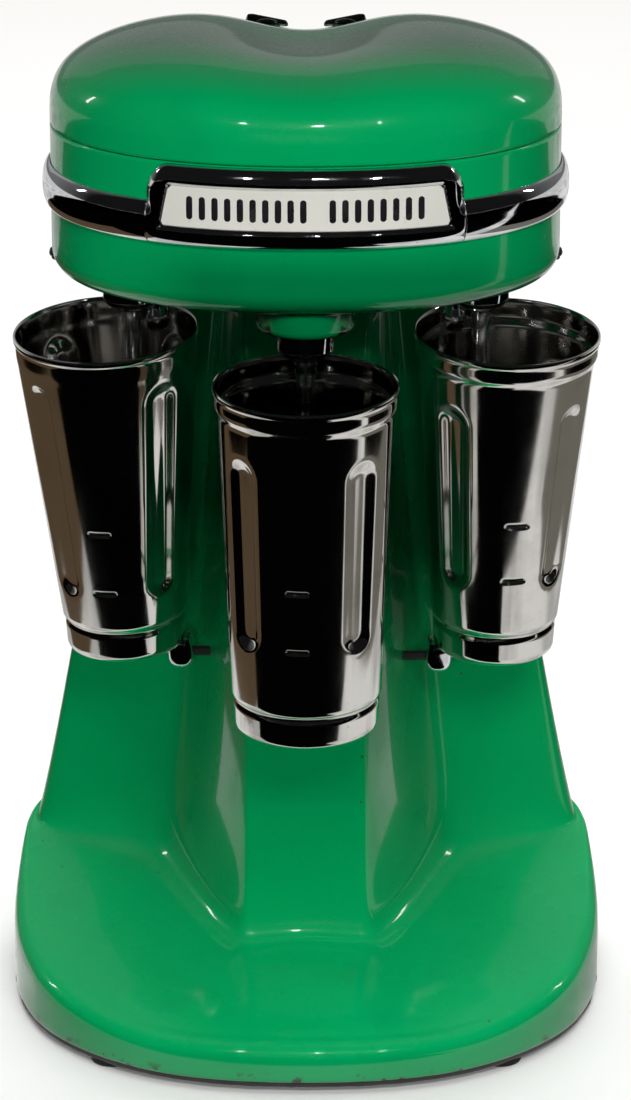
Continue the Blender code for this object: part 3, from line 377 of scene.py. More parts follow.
def turned_rings(profile, steps):
    turn = np.linspace(0.0, 2.0 * PI, steps, endpoint=False)
    return [np.stack([radius * np.cos(turn), radius * np.sin(turn), np.full(steps, height)], 1)
            for radius, height in profile]


def turned(name, profile, finish, steps=64, closed=False, sharp_degrees=32.0, at=(0.0, 0.0)):
    """A turned solid at x and y, from radius and height pairs; closed for one with a bore."""
    made = skin(name, turned_rings(profile, steps), finish, sharp_degrees, closed=closed)
    made.location = (*at, 0.0)
    return made


def soft_corner(before, here, after, radius, shares):
    """Points of a rounded corner at here, between its two neighbours."""
    back, onward = before - here, after - here
    reach = min(radius, 0.45 * np.linalg.norm(back), 0.45 * np.linalg.norm(onward))
    start = here + back / max(np.linalg.norm(back), 1e-9) * reach
    end = here + onward / max(np.linalg.norm(onward), 1e-9) * reach
    return [start * (1 - share) ** 2 + here * 2 * share * (1 - share) + end * share ** 2
            for share in shares]


def rounded(profile, radius=0.0004, segments=3, closed=False):
    """Round the corners of a section by a small radius; an open one keeps its ends."""
    points = [np.array(point, float) for point in profile]
    shares = [step / segments for step in range(segments + 1)]
    made = []
    for index, here in enumerate(points):
        if not closed and index in (0, len(points) - 1):
            made.append(here)
        else:
            made += soft_corner(points[index - 1], here, points[(index + 1) % len(points)], radius,
                                shares)
    return made


def aim(made, place, direction):
    """Put a piece at a place with its own +Z along a direction."""
    made.rotation_mode = "QUATERNION"
    made.rotation_quaternion = Vector(direction).to_track_quat("Z", "Y")
    made.location = place


def apply_modifiers(made):
    bpy.context.view_layer.update()
    evaluated = made.evaluated_get(bpy.context.evaluated_depsgraph_get())
    mesh = bpy.data.meshes.new_from_object(evaluated)
    old = made.data
    made.modifiers.clear()
    made.data = mesh
    mesh.name = old.name
    bpy.data.meshes.remove(old)


def add_modifier(made, kind, **settings):
    modifier = made.modifiers.new(kind.lower(), kind)
    for key, value in settings.items():
        setattr(modifier, key, value)


def cut(made, tool):
    """Cut a tool out of a piece and remove the tool."""
    add_modifier(made, "BOOLEAN", operation="DIFFERENCE", solver="EXACT", object=tool)
    apply_modifiers(made)
    bpy.data.objects.remove(tool, do_unlink=True)


def stands_for(piece, *nodes):
    """The piece replaces CAD nodes of one body: it joins their body and hides them."""
    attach(piece, BODY_OF[nodes[0]])
    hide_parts(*nodes)


def joins(piece, node):
    """The piece is an extra detail on a CAD node's body."""
    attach(piece, BODY_OF[node])


# ---- plan curves
def closed_normals(points):
    """Outward plan normals of a closed counter-clockwise ring."""
    points = np.asarray(points, float)
    along = np.roll(points, -1, 0)[:, :2] - np.roll(points, 1, 0)[:, :2]
    along /= np.linalg.norm(along, axis=1, keepdims=True)
    return np.stack([along[:, 1], -along[:, 0]], 1)


def base_point(degrees):
    """Foot plan; 0 degrees is the front, 90 the right-hand side, 180 the rear."""
    turn = math.radians(degrees)
    front = math.cos(turn) > 0.0
    power = BASE_FRONT_POWER if front else BASE_REAR_POWER
    reach = BASE_FRONT_REACH if front else BASE_REAR_REACH
    x = BASE_HALF_WIDTH * signed_power(math.sin(turn), 2.0 / power)
    y = BASE_CENTRE_Y - reach * signed_power(math.cos(turn), 2.0 / power)
    behind = max(0.0, y - BASE_CENTRE_Y) / BASE_REAR_REACH
    return np.array((x * (1.0 - BASE_REAR_TAPER * behind ** 1.15), y))


def head_plan(turn, offset=0.0, scale=1.0):
    """Head plan at angles from the front, grown by offset along its normal."""
    x = scale * HEAD_HALF_WIDTH * signed_power(np.sin(turn), 2.0 / HEAD_POWER)
    y = -scale * HEAD_HALF_DEPTH * signed_power(np.cos(turn), 2.0 / HEAD_POWER)
    normal = np.stack([signed_power(x / HEAD_HALF_WIDTH, HEAD_POWER - 1) / HEAD_HALF_WIDTH,
                       signed_power(y / HEAD_HALF_DEPTH, HEAD_POWER - 1) / HEAD_HALF_DEPTH], -1)
    normal /= np.maximum(np.linalg.norm(normal, axis=-1, keepdims=True), 1e-9)
    return np.stack([x, y + HEAD_CENTRE_Y], -1) + np.asarray(offset)[..., None] * normal


def plan_angle(x):
    """The plan angle at which the front of the head reaches x."""
    return np.arcsin(np.clip(signed_power(x / HEAD_HALF_WIDTH, HEAD_POWER / 2), -1.0, 1.0))


def cover_height(x, y):
    """Outer height of the cover over the head plan, with the valley between its humps."""
    reach = (np.abs(x / HEAD_HALF_WIDTH) ** HEAD_POWER
             + np.abs((y - HEAD_CENTRE_Y) / HEAD_HALF_DEPTH) ** HEAD_POWER) ** (1 / HEAD_POWER)
    dome = np.maximum(0.0, 1.0 - np.minimum(1.0, reach) ** COVER_POWER) ** (1.0 / COVER_POWER)
    valley = SADDLE_DEPTH * np.exp(-(x / SADDLE_WIDTH) ** 2)
    valley = valley * mix(0.30, 1.0, smooth_step((y + 0.085) / 0.130))
    return HEAD_SEAM + COVER_LIP + COVER_RISE * dome - valley * dome


# ---- stand
def tray_height(y):
    return TRAY_FRONT_Z + TRAY_RISE * (y - BASE_CENTRE_Y + BASE_FRONT_REACH)


def wing_half_width(z):
    """The rear wall widens downwards, flares into the foot and draws in under the head."""
    below = 0.150 - z
    above = max(0.0, z - 0.220)
    return 0.1313 + 0.17 * below + 0.6 * max(0.0, below) ** 2 - 0.86 * above ** 2


def pier_corners(z):
    """Right-hand half of the pier's plan as corners: x, y, corner radius, sample count."""
    low = float(smooth_step((z - 0.050) / 0.150))
    high = max(0.0, (z - 0.200) / 0.200)
    panel_y = mix(-0.0265, -0.0140, low) + 0.010 * high
    width = wing_half_width(z)
    rear = mix(0.1100, 0.1050, low) - 0.021 * high ** 1.5
    cheek_x = mix(0.052, 0.044, low) - 0.003 * high
    corner_x = mix(0.072, 0.061, low) - 0.018 * high
    corner_y = mix(0.050, 0.069, low) - 0.010 * high
    wall_x = mix(0.105, 0.095, low) - 0.044 * high
    wall_y = mix(0.064, 0.076, low) - 0.012 * high
    tip_y = mix(0.079, 0.084, low) - 0.016 * high
    ridge_x = mix(0.0320, 0.0305, low) + 0.003 * high ** 3
    return [
        (0.0, panel_y + 0.0006, 0.0, 1),
        (0.45 * ridge_x, panel_y + 0.0002, 0.0, 1),
        (0.80 * ridge_x, panel_y - 0.0018, 0.0, 1),
        (ridge_x, panel_y - 0.0035, 0.0065, 5),
        (cheek_x - 0.002 * (1.0 - low), panel_y + 0.021, 0.020, 3),
        (corner_x, corner_y, 0.026, 5),
        (wall_x, wall_y, 0.0, 1),
        (mix(wall_x, width, 0.55), mix(wall_y, tip_y, 0.55), 0.0, 1),
        (width, tip_y, 0.008, 5),
        (width - 0.004, rear, 0.030, 5),
        (0.5 * width, rear + 0.0010, 0.0, 1),
        (0.0, rear + 0.0015, 0.0, 1),
    ]


RELAX_PASSES = 10
BASE_STATION_DEGREES = (0.0, 8.0, 15.0, 24.0, 41.0, 59.0, 73.0, 84.0, 97.0, 121.0, 150.0, 180.0)


def rounded_half(corners):
    places = [np.array(corner[:2]) for corner in corners]
    points = []
    for index, (_, _, radius, samples) in enumerate(corners):
        if samples == 1:
            points.append(places[index])
        else:
            points += soft_corner(places[index - 1], places[index], places[index + 1], radius,
                                  np.linspace(0.0, 1.0, samples))
    return points


def mirror_half(half):
    """A closed counter-clockwise ring from the right half, front centre to rear centre."""
    return np.array(list(half) + [point * (-1.0, 1.0) for point in reversed(half[1:-1])])


def pier_ring(z):
    return mirror_half(rounded_half(pier_corners(z)))


def base_ring():
    """The foot plan sampled so that it matches the pier's corners point for point."""
    points = []
    for index, corner in enumerate(pier_corners(0.060)):
        centre = BASE_STATION_DEGREES[index]
        if corner[3] == 1:
            points.append(base_point(centre))
            continue
        before = mix(centre, BASE_STATION_DEGREES[index - 1], 0.34)
        after = mix(centre, BASE_STATION_DEGREES[index + 1], 0.34)
        for degrees in np.linspace(before, after, corner[3]):
            points.append(base_point(degrees))
    return mirror_half(points)


def level(plan, z):
    return np.column_stack([plan, np.broadcast_to(z, len(plan))])


def skirt_rings():
    """Rings from the skirt's lower edge, over the drooping lip and onto the tray."""
    base = base_ring()
    normals = closed_normals(base)
    droop = RIM_DROOP * smooth_step((np.abs(base[:, 0]) - 0.02) / 0.10) * (
        1.0 - smooth_step(base[:, 1] / 0.09))
    base_top = tray_height(base[:, 1]) - droop
    lip = LIP_RADIUS * mix(1.0, 0.16, smooth_step((base[:, 1] - 0.020) / 0.060))
    rings = [level(base - 0.0010 * normals, SKIRT_BOTTOM),
             level(base, SKIRT_BOTTOM + 0.0010), level(base, mix(SKIRT_BOTTOM, base_top - lip, 0.5)),
             level(base, base_top - 1.25 * lip)]
    for degrees in (12.0, 32.0, 55.0, 78.0, 90.0):
        turn = math.radians(degrees)
        inset = (lip * (1.0 - math.cos(turn)))[:, None]
        rings.append(level(base - inset * normals, base_top - lip * (1.0 - math.sin(turn))))
    inboard = base - 1.6 * lip[:, None] * normals
    rings.append(level(inboard, tray_height(inboard[:, 1]) - 0.0006 - 0.75 * droop))
    return rings


def stand_rings():
    """All rings of the stand: skirt, tray, fillet and pier."""
    reference = pier_ring(0.060)
    normals = closed_normals(reference)
    plans = {}

    def pier_at(heights):
        """The pier's plan with each point taken at its own height."""
        points = []
        for index, z in enumerate(heights):
            key = round(float(z), 4)
            if key not in plans:
                plans[key] = pier_ring(z)
            points.append(plans[key][index])
        return np.array(points)

    foot_z = tray_height(reference[:, 1])
    side_share = np.maximum(smooth_step((np.abs(reference[:, 0]) - 0.115) / 0.030),
                            smooth_step((reference[:, 1] - 0.085) / 0.020))
    column = smooth_step((np.abs(reference[:, 0]) - 0.040) / 0.030)
    size = FOOT_FILLET * mix(1.25, 0.12, side_share) * mix(0.55, 1.0, column)
    wall = pier_at(foot_z + size)
    fillets = []
    for degrees in (0.0, 22.0, 45.0, 68.0, 90.0):
        turn = math.radians(degrees)
        out = (size * (1.0 - math.sin(turn)))[:, None]
        fillets.append(level(wall + out * normals, foot_z + size * (1.0 - math.cos(turn))))
    rings = skirt_rings()
    rings += [mix(rings[-1], fillets[0], share) for share in (0.22, 0.48, 0.74, 0.93)] + fillets
    for share in (0.045, 0.12, 0.20, 0.30, 0.42, 0.55, 0.70, 0.85, 0.97, 0.995):
        heights = mix(fillets[-1][:, 2], PIER_TOP, share)
        rings.append(level(pier_at(heights), heights))
    crown = pier_ring(PIER_TOP)
    rings += [level(crown - inset * closed_normals(crown), PIER_TOP) for inset in (0.0010, 0.0040)]
    return relaxed(np.array(rings))


def relaxed(grid):
    """Soften the run from tray through fillet into pier, as poured enamel rounds it."""
    amount = np.interp(np.arange(len(grid)), (9, 11, 14, 20, 25), (0.0, 0.35, 1.0, 1.0, 0.0))
    amount = 0.5 * amount[:, None, None]
    for _ in range(RELAX_PASSES):
        beside = (np.roll(grid, 1, 1) + np.roll(grid, -1, 1)) / 2
        above = grid.copy()
        above[1:-1] = (grid[2:] + grid[:-2]) / 2
        grid = grid + amount * ((beside + 2.0 * above) / 3 - grid)
    return grid


def make_stand():
    stand = skin("enamel_stand", stand_rings(), ENAMEL, 60.0, cap_last=True)
    add_modifier(stand, "SUBSURF", levels=2, render_levels=2)
    add_modifier(stand, "SOLIDIFY", thickness=SHELL_WALL, offset=-1.0)
    apply_modifiers(stand)
    rear_face = BASE_CENTRE_Y + BASE_REAR_REACH
    way = turned("gland_way", [(0.0, -0.02), (0.0078, -0.02), (0.0078, 0.02), (0.0, 0.02)], ENAMEL)
    aim(way, (0.0, rear_face, GLAND_HEIGHT), (0.0, 1.0, 0.0))
    cut(stand, way)
    shade(stand.data, 45.0)
    stands_for(stand, "stand_shell")

    profile = rounded([(0.0036, 0.0056), (0.0085, 0.0056), (0.0110, 0.0036), (0.0110, GAP),
                       (0.0074, GAP), (0.0074, -0.0120), (0.0036, -0.0120)], 0.0008, closed=True)
    gland = turned("gland_bush", profile, BAKELITE, closed=True)
    aim(gland, (0.0, rear_face, GLAND_HEIGHT), (0.0, 1.0, 0.0))
    stands_for(gland, "cord_gland")


def make_base_plate():
    ring = base_ring()
    normals = closed_normals(ring)
    bottom = FOOT_HEIGHT + GAP
    top = bottom + PLATE_THICKNESS
    rings = []
    for inset, z in ((0.0200, bottom + 0.0012), (0.0180, bottom), (0.0024, bottom),
                     (0.0016, bottom + 0.0008), (0.0016, top), (0.0090, top)):
        rings.append(level(ring - inset * normals, z))
    plate = skin("bottom_plate", rings, BLACK_PAINT, 60.0, cap_first=True, cap_last=True)
    stands_for(plate, "base_plate")


def make_feet():
    for name, (x, y) in FOOT_PLACES.items():
        profile = rounded([(0.0046, 0.0014), (0.0046, 0.0001), (0.0104, 0.0001), (0.0113, 0.0010),
                           (0.0113, 0.0016), (0.0108, 0.0019), (0.0113, 0.0022),
                           (0.0115, FOOT_HEIGHT), (0.0024, FOOT_HEIGHT), (0.0024, 0.0014)],
                          0.0004, closed=True)
        foot = turned("rubber_foot_" + name, profile, RUBBER, closed=True, at=(x, y))
        stands_for(foot, "foot_" + name)
        screw = slotted_screw("plate_screw_" + name, 0.0041, 0.0008, 0.0020, 0.0110, ZINC)
        aim(screw, (x, y, 0.0011), (0.0, 0.0, -1.0))
        stands_for(screw, "foot_screw_" + name)


def add_box(bm, size, middle):
    """Add a box to an empty mesh."""
    bmesh.ops.create_cube(bm, size=1.0)
    bmesh.ops.scale(bm, verts=bm.verts, vec=size)
    bmesh.ops.translate(bm, verts=bm.verts, vec=middle)


def slotted_screw(name, head_radius, head_height, shank_radius, length, finish):
    """A pan-head screw with a driver slot; its head rises along +Z from its seat at 0."""
    profile = rounded([(0.0, head_height), (head_radius * 0.55, head_height * 0.96),
                       (head_radius, head_height * 0.35), (head_radius, 0.0),
                       (shank_radius, 0.0), (shank_radius, -length), (0.0, -length)], 0.0003)
    screw = turned(name, profile, finish, 40)
    bm = bmesh.new()
    add_box(bm, (head_radius * 3, head_radius * 0.26, head_height),
            (0.0, 0.0, head_height * 1.05))
    cut(screw, finished_object(name + "_slot", bm, finish))
    shade(screw.data, 35.0)
    return screw


# ---- head
HEAD_TURNS = np.linspace(0.0, 2.0 * PI, 192, endpoint=False)


def head_ring(offset, z, scale=1.0):
    """A level ring of the head's plan, grown by offset."""
    return level(head_plan(HEAD_TURNS, offset, scale), z)


def make_cover():
    seam = HEAD_SEAM + GAP
    rings = [head_ring(-0.0022, seam), head_ring(-0.0009, seam), head_ring(-0.0003, seam + 0.0003),
             head_ring(0.0, seam + 0.0009), head_ring(0.0, seam + 0.0020)]
    scales = [math.cos(math.radians(degrees)) ** (2.0 / COVER_POWER)
              for degrees in np.linspace(2.0, 78.0, 34)]
    for scale in scales + list(np.linspace(scales[-1], 0.012, 14)[1:]):
        plan = head_plan(HEAD_TURNS, 0.0, scale)
        rings.append(level(plan, cover_height(plan[:, 0], plan[:, 1])))
    cover = skin("enamel_cover", rings, ENAMEL, 50.0, cap_last=True)
    add_modifier(cover, "SOLIDIFY", thickness=COVER_WALL, offset=-1.0)
    apply_modifiers(cover)
    stands_for(cover, "upper_cover")


def make_housing():
    rings = [head_ring(-0.0022, HEAD_SEAM), head_ring(-0.0009, HEAD_SEAM),
             head_ring(-0.0003, HEAD_SEAM - 0.0003), head_ring(0.0, HEAD_SEAM - 0.0009)]
    rings += [head_ring(0.0, z) for z in np.linspace(0.4830, HOUSING_FLOOR + HOUSING_ROUND, 10)]
    for degrees in np.linspace(9.0, 90.0, 10):
        round_off = math.radians(degrees)
        rings.append(head_ring(-HOUSING_ROUND * (1.0 - math.cos(round_off)),
                               HOUSING_FLOOR + HOUSING_ROUND * (1.0 - math.sin(round_off))))
    rings += [head_ring(0.0, HOUSING_FLOOR, scale) for scale in (0.85, 0.6, 0.3, 0.08)]
    housing = skin("enamel_housing", rings, ENAMEL, 50.0, cap_last=True)
    add_modifier(housing, "SOLIDIFY", thickness=SHELL_WALL, offset=-1.0)
    apply_modifiers(housing)
    stands_for(housing, "lower_housing")
    for name, station in STATIONS.items():
        make_boss(name, station)


def make_boss(name, station):
    """A spindle's boss under the housing: flared at the root and rounded at its lower edge."""
    bore = SHAFT_RADIUS + 0.0012
    profile = [(bore, HOUSING_FLOOR + 0.0012)]
    for degrees in np.linspace(0.0, 90.0, 8):
        flare = math.radians(degrees)
        profile.append((BOSS_RADIUS + 0.0030 * (1.0 - math.sin(flare)),
                        HOUSING_FLOOR + 0.0002 - 0.0030 * (1.0 - math.cos(flare))))
    profile += [(BOSS_RADIUS - inset, BOSS_BOTTOM + lift)
                for inset, lift in ((0.0008, 0.0045), (0.0016, 0.0024), (0.0034, 0.0008),
                                    (0.0058, 0.0001), (0.0080, 0.0))]
    profile.append((bore, BOSS_BOTTOM))
    joins(turned("enamel_boss_" + name, profile, ENAMEL, 96, closed=True, sharp_degrees=60.0,
                 at=station["spindle"]), "lower_housing")


def band_top(x):
    """Upper edge of the belt, which sweeps up into the frame's shoulders, and its share risen."""
    share = np.clip((SHOULDER_FOOT - np.abs(x)) / (SHOULDER_FOOT - SHOULDER_TOP), 0.0, 1.0)
    rise = np.sqrt(np.maximum(0.0, 1.0 - (1.0 - share) ** 2.4)) * smooth_step(share / 0.10)
    return mix(BAND_TOP, BEZEL_TOP - 0.0002, rise), rise


BAND_BULGE = 0.0042
FRAME_BULGE = 0.0058
FRONT_REACH = 0.0970             # the belt's rings lie close together up to this x
SEAT_OFFSET = 0.0036             # the frame's floor under the plate, its margin and its edge
SEAT_MARGIN = 0.0016
SEAT_EDGE = 0.0012
PLATE_LEAN = 0.195


def make_band():
    """The chrome belt: a half-round section that swells into a raised frame at the front."""
    shoulder = SHOULDER_FOOT - (SHOULDER_FOOT - SHOULDER_TOP) * (
        1.0 - np.cos(np.linspace(0.0, PI / 2, 34)))
    half = np.concatenate([np.linspace(0.0, SHOULDER_TOP, 74)[:-1], shoulder[::-1],
                           np.linspace(SHOULDER_FOOT, FRONT_REACH, 14)[1:]])
    near = np.concatenate([-half[:0:-1], half])
    front_turns = plan_angle(near)
    lengths = np.linalg.norm(np.diff(head_plan(front_turns), axis=0), axis=1)
    reached = np.concatenate([[0.0], np.cumsum(lengths)])
    edge_heights = band_top(near)[0]
    rest = np.linspace(front_turns[-1], 2.0 * PI + front_turns[0], 130)[1:-1]
    share = (1.0 - np.cos(np.linspace(0.0, PI, 46))) / 2.0
    rings = []
    for number, turn in enumerate(np.concatenate([front_turns, rest])):
        front = number < len(near)
        x = near[number] if front else 1.0
        top, rise = band_top(x)
        z = mix(BAND_BOTTOM, top, share)
        edge = np.minimum(z - BAND_BOTTOM, top - z)
        if front:
            away = np.hypot(reached[:, None] - reached[number],
                            edge_heights[:, None] - z[None, :]).min(0)
            edge = np.minimum(edge, away)
        arch = np.sqrt(np.maximum(0.0, 1.0 - (1.0 - np.minimum(1.0, edge / BAND_ROLL)) ** 2))
        offset = mix(BAND_BULGE, FRAME_BULGE, rise) * arch
        if front:
            end = PLATE_HALF_BOTTOM + SEAT_MARGIN - PLATE_LEAN * (z - PLATE_BOTTOM)
            seat = smooth_step((end - abs(x)) / SEAT_EDGE) * (
                smooth_step((z - PLATE_BOTTOM + SEAT_MARGIN) / SEAT_EDGE)
                * smooth_step((PLATE_TOP + SEAT_MARGIN - z) / SEAT_EDGE))
            offset = mix(offset, np.minimum(offset, SEAT_OFFSET), seat)
        section = np.concatenate([[GAP], np.maximum(offset, GAP), [GAP]])
        heights = np.concatenate([[BAND_BOTTOM + 0.0002], z, [top - 0.0002]])
        rings.append(level(head_plan(np.full(len(section), turn), section), heights))
    stands_for(skin("chrome_band", rings, CHROME, 70.0, closed=True), "trim_band")


PLATE_BACK = 0.0033
PLATE_FACE = 0.0046
BAR_PITCH = 0.0060
BAR_STARTS = ((-0.0550, 10), (0.0130, 8))


def plate_point(x, offset):
    return head_plan(np.array(plan_angle(x)), np.array(offset))


def make_plate():
    """A blank curved plate with rounded corners."""
    rings = []
    for share in np.linspace(-1.0, 1.0, 121):
        corner = 0.0016 * (1.0 - min(1.0, (1.0 - abs(share)) / 0.022)) ** 2
        low = PLATE_BOTTOM + corner
        high = PLATE_TOP - corner
        ring = []
        for z, offset in ((low, PLATE_BACK), (low, PLATE_FACE - 0.0005),
                          (low + 0.0005, PLATE_FACE), (mix(low, high, 0.5), PLATE_FACE),
                          (high - 0.0005, PLATE_FACE), (high, PLATE_FACE - 0.0005),
                          (high, PLATE_BACK)):
            rise = (z - PLATE_BOTTOM) / (PLATE_TOP - PLATE_BOTTOM)
            x = share * mix(PLATE_HALF_BOTTOM, PLATE_HALF_TOP, rise)
            ring.append((*plate_point(x, offset), z))
        rings.append(ring)
    plate = skin("blank_plate", rings, PLATE_METAL, 30.0, cap_first=True, cap_last=True)
    stands_for(plate, "name_plate")


def make_motif():
    """Two rows of plain upright bars with round ends, standing for the plate's lettering."""
    bm = bmesh.new()
    half, reach = 0.0016, 0.0042
    for x in (start + BAR_PITCH * step for start, count in BAR_STARTS for step in range(count)):
        place = plate_point(x, PLATE_FACE)
        along = Vector((*(plate_point(x + 0.001, PLATE_FACE) - place), 0.0)).normalized()
        outward = Vector((along.y, -along.x, 0.0))
        middle = Vector((*place, (PLATE_BOTTOM + PLATE_TOP) / 2))
        rings = []
        for rise, shrink in ((-0.0003, 1.0), (0.00018, 1.0), (0.00028, 0.88)):
            ring = []
            for turn in (2.0 * PI * step / 24 for step in range(24)):
                side = 0.0 if abs(math.sin(turn)) < 1e-6 else math.copysign(reach, math.sin(turn))
                ring.append(middle + along * half * shrink * math.cos(turn)
                            + Vector((0.0, 0.0, side + half * shrink * math.sin(turn)))
                            + outward * rise)
            rings.append(ring)
        add_rings(bm, rings, cap_first=True, cap_last=True)
    joins(finished_object("plate_motif", bm, MOTIF_PAINT, 40.0), "name_plate")


def make_side_screws():
    for side, sign in (("left", -1), ("right", 1)):
        lean = math.radians(30.0)
        screw = slotted_screw("housing_screw_" + side, 0.0038, 0.0027, 0.0017, 0.0075, BLACK_PAINT)
        place = (sign * (HEAD_HALF_WIDTH - HOUSING_ROUND * (1.0 - math.cos(lean))),
                 HEAD_CENTRE_Y, HOUSING_FLOOR + HOUSING_ROUND * (1.0 - math.sin(lean)))
        aim(screw, place, (sign * math.cos(lean), 0.0, -math.sin(lean)))
        stands_for(screw, "side_screw_" + side)


# ---- spindles
def make_spindle(name, station):
    place = station["spindle"]
    agitator_z = station["foot"][2] + AGITATOR_LIFT
    tip = agitator_z - 0.006
    profile = rounded([(0.0, SHAFT_TOP), (SHAFT_RADIUS, SHAFT_TOP), (SHAFT_RADIUS, tip + 0.0120),
                       (0.0030, tip + 0.0110), (0.0030, tip), (0.0, tip)], 0.0006)
    stands_for(turned("shaft_" + name, profile, SHAFT_STEEL, at=place), "spindle_" + name)
    top = BOSS_BOTTOM - 0.0006
    bore = SHAFT_RADIUS + GAP
    outline = rounded([(bore, top), (COLLAR_RADIUS, top), (COLLAR_RADIUS, top - 0.0098),
                       (COLLAR_RADIUS - 0.0020, top - 0.0120), (0.0092, top - 0.0126),
                       (0.0092, COLLAR_BOTTOM + 0.0006), (0.0084, COLLAR_BOTTOM),
                       (bore, COLLAR_BOTTOM)], 0.0007, 4, closed=True)
    collar = turned("splash_collar_" + name, outline, CHROME, 80, closed=True, at=place)
    stands_for(collar, "collar_" + name)
    make_agitator(name, (*place, agitator_z))


def make_agitator(name, place):
    """A wavy pressed disc with a hub and a rolled edge."""
    turn = np.linspace(0.0, 2.0 * PI, 120, endpoint=False)
    upper = [(0.0031, 0.0028, 0.0), (0.0040, 0.0028, 0.0), (0.0044, 0.0022, 0.0),
             (0.0048, 0.0010, 0.0001), (0.0080, 0.0007, 0.0006), (0.0115, 0.0007, 0.0012),
             (0.0134, 0.0009, 0.0014)]
    lower = [(radius, -height, wave) for radius, height, wave in reversed(upper)]
    rings = [np.column_stack([radius * np.cos(turn), radius * np.sin(turn),
                              height + wave * np.cos(4.0 * turn)])
             for radius, height, wave in upper + [(0.0140, 0.0, 0.0014)] + lower]
    disc = skin("beater_" + name, rings, SHAFT_STEEL, 40.0, closed=True)
    disc.location = place
    stands_for(disc, "agitator_" + name)


def make_hook(name, station):
    """A chrome post with a flattened bulb that steadies the cup from inside its rim."""
    x, y = station["spindle"]
    dx, dy = HOOK_DIRECTIONS[name]
    seat = BOSS_BOTTOM - GAP
    profile = [(0.0, 0.4160), (0.0024, 0.4160), (0.0024, seat), (0.0068, seat),
               (0.0068, seat - 0.0016), (0.0050, seat - 0.0028)]
    profile += [(radius, HOOK_TIP + lift)
                for radius, lift in ((0.0047, 0.0190), (0.0052, 0.0125), (0.0060, 0.0090),
                                     (0.0060, 0.0055), (0.0048, 0.0018), (0.0022, 0.0002),
                                     (0.0, 0.0))]
    hook = turned("rim_post_" + name, rounded(profile, 0.0016, 4), CHROME, 48, sharp_degrees=50.0,
                  at=(x + HOOK_DISTANCE * dx, y + HOOK_DISTANCE * dy))
    stands_for(hook, "cup_hook_" + name)


# ---- cups
CUP_LOOKS = {
    "left": {"shoulder": False, "flutes": (39.0, 129.0, 219.0, 309.0), "mark": -13.0,
             "flute": (0.016, 0.141), "mark_depths": (0.100, 0.135)},
    "centre": {"shoulder": True, "flutes": (42.0, 132.0, 222.0, 311.0), "mark": -6.0,
               "flute": (0.028, 0.134), "mark_depths": (0.097, 0.129)},
    "right": {"shoulder": True, "flutes": (-40.0, 52.0, 140.0, 230.0), "mark": 12.0,
              "flute": (0.028, 0.134), "mark_depths": (0.094, 0.126)},
}
CUP_WALL = 0.0012


def stadium(across, along, half, start, end):
    """1 in the middle of a round-ended groove, falling to 0 at its outline."""
    beyond = np.maximum(0.0, np.maximum(start + half - along, along - end + half))
    away = np.sqrt(across ** 2 + beyond ** 2) / half
    return np.clip(1.0 - away, 0.0, 1.0)


def cup_section(station, look):
    """Outer section of the cup from rim to foot: its length, then depths and radii."""
    bottom, top = station["radii"]
    length = (Vector(station["rim"]) - Vector(station["foot"])).length
    step = 0.0017 if look["shoulder"] else 0.0003
    knots = [(0.0040, top - 0.0003), (0.0100, top - 0.0005), (0.0114, top - 0.0005 - 0.30 * step),
             (0.0130, top - 0.0005 - 0.86 * step), (0.0146, top - 0.0007 - step)]
    knots += [(length - lift, bottom + out)
              for lift, out in ((0.0196, 0.0013), (0.0184, 0.0006), (0.0172, -0.0006),
                                (0.0160, -0.0006), (0.0146, 0.0002), (0.0030, -0.0002),
                                (0.0016, -0.0007), (0.0005, -0.0019), (0.0, -0.0034))]
    depths = [knots[0][0]]
    for depth, _ in knots[1:]:
        steps = max(1, int(round((depth - depths[-1]) / 0.0017)))
        depths += list(np.linspace(depths[-1], depth, steps + 1)[1:])
    for centre in look["mark_depths"]:
        depths += list(np.linspace(centre - 0.0034, centre + 0.0034, 15))
    depths = thinned(depths, 6, 0.00018)
    return length, depths, np.interp(depths, *zip(*knots))


def thinned(values, digits, least):
    """Sorted values without repeats and without steps under the least one."""
    values = np.array(sorted(set(round(value, digits) for value in values)))
    return values[np.concatenate([[True], np.diff(values) > least])]


def cup_dents(look, degrees, depth, radius, length):
    """How far the flutes and the measuring marks sink in, round the cup at one depth."""
    sunk = np.zeros(len(degrees))
    for flute in look["flutes"]:
        away = (degrees - flute + 180.0) % 360.0 - 180.0
        groove = stadium(np.radians(away) * radius, depth, mix(0.0124, 0.0100, depth / length),
                         *look["flute"])
        sunk += 0.0031 * (0.5 - 0.5 * np.cos(PI * np.minimum(1.0, groove * 1.35)))
    for centre in look["mark_depths"]:
        flat = np.maximum(0.0, np.abs(np.radians(degrees - look["mark"]) * radius) - 0.0048)
        lift = depth - centre
        tall = 0.0026 if lift < 0.0 else 0.0012
        sunk += 0.0014 * smooth_step(1.0 - np.sqrt((flat / 0.0020) ** 2 + (lift / tall) ** 2))
    return sunk


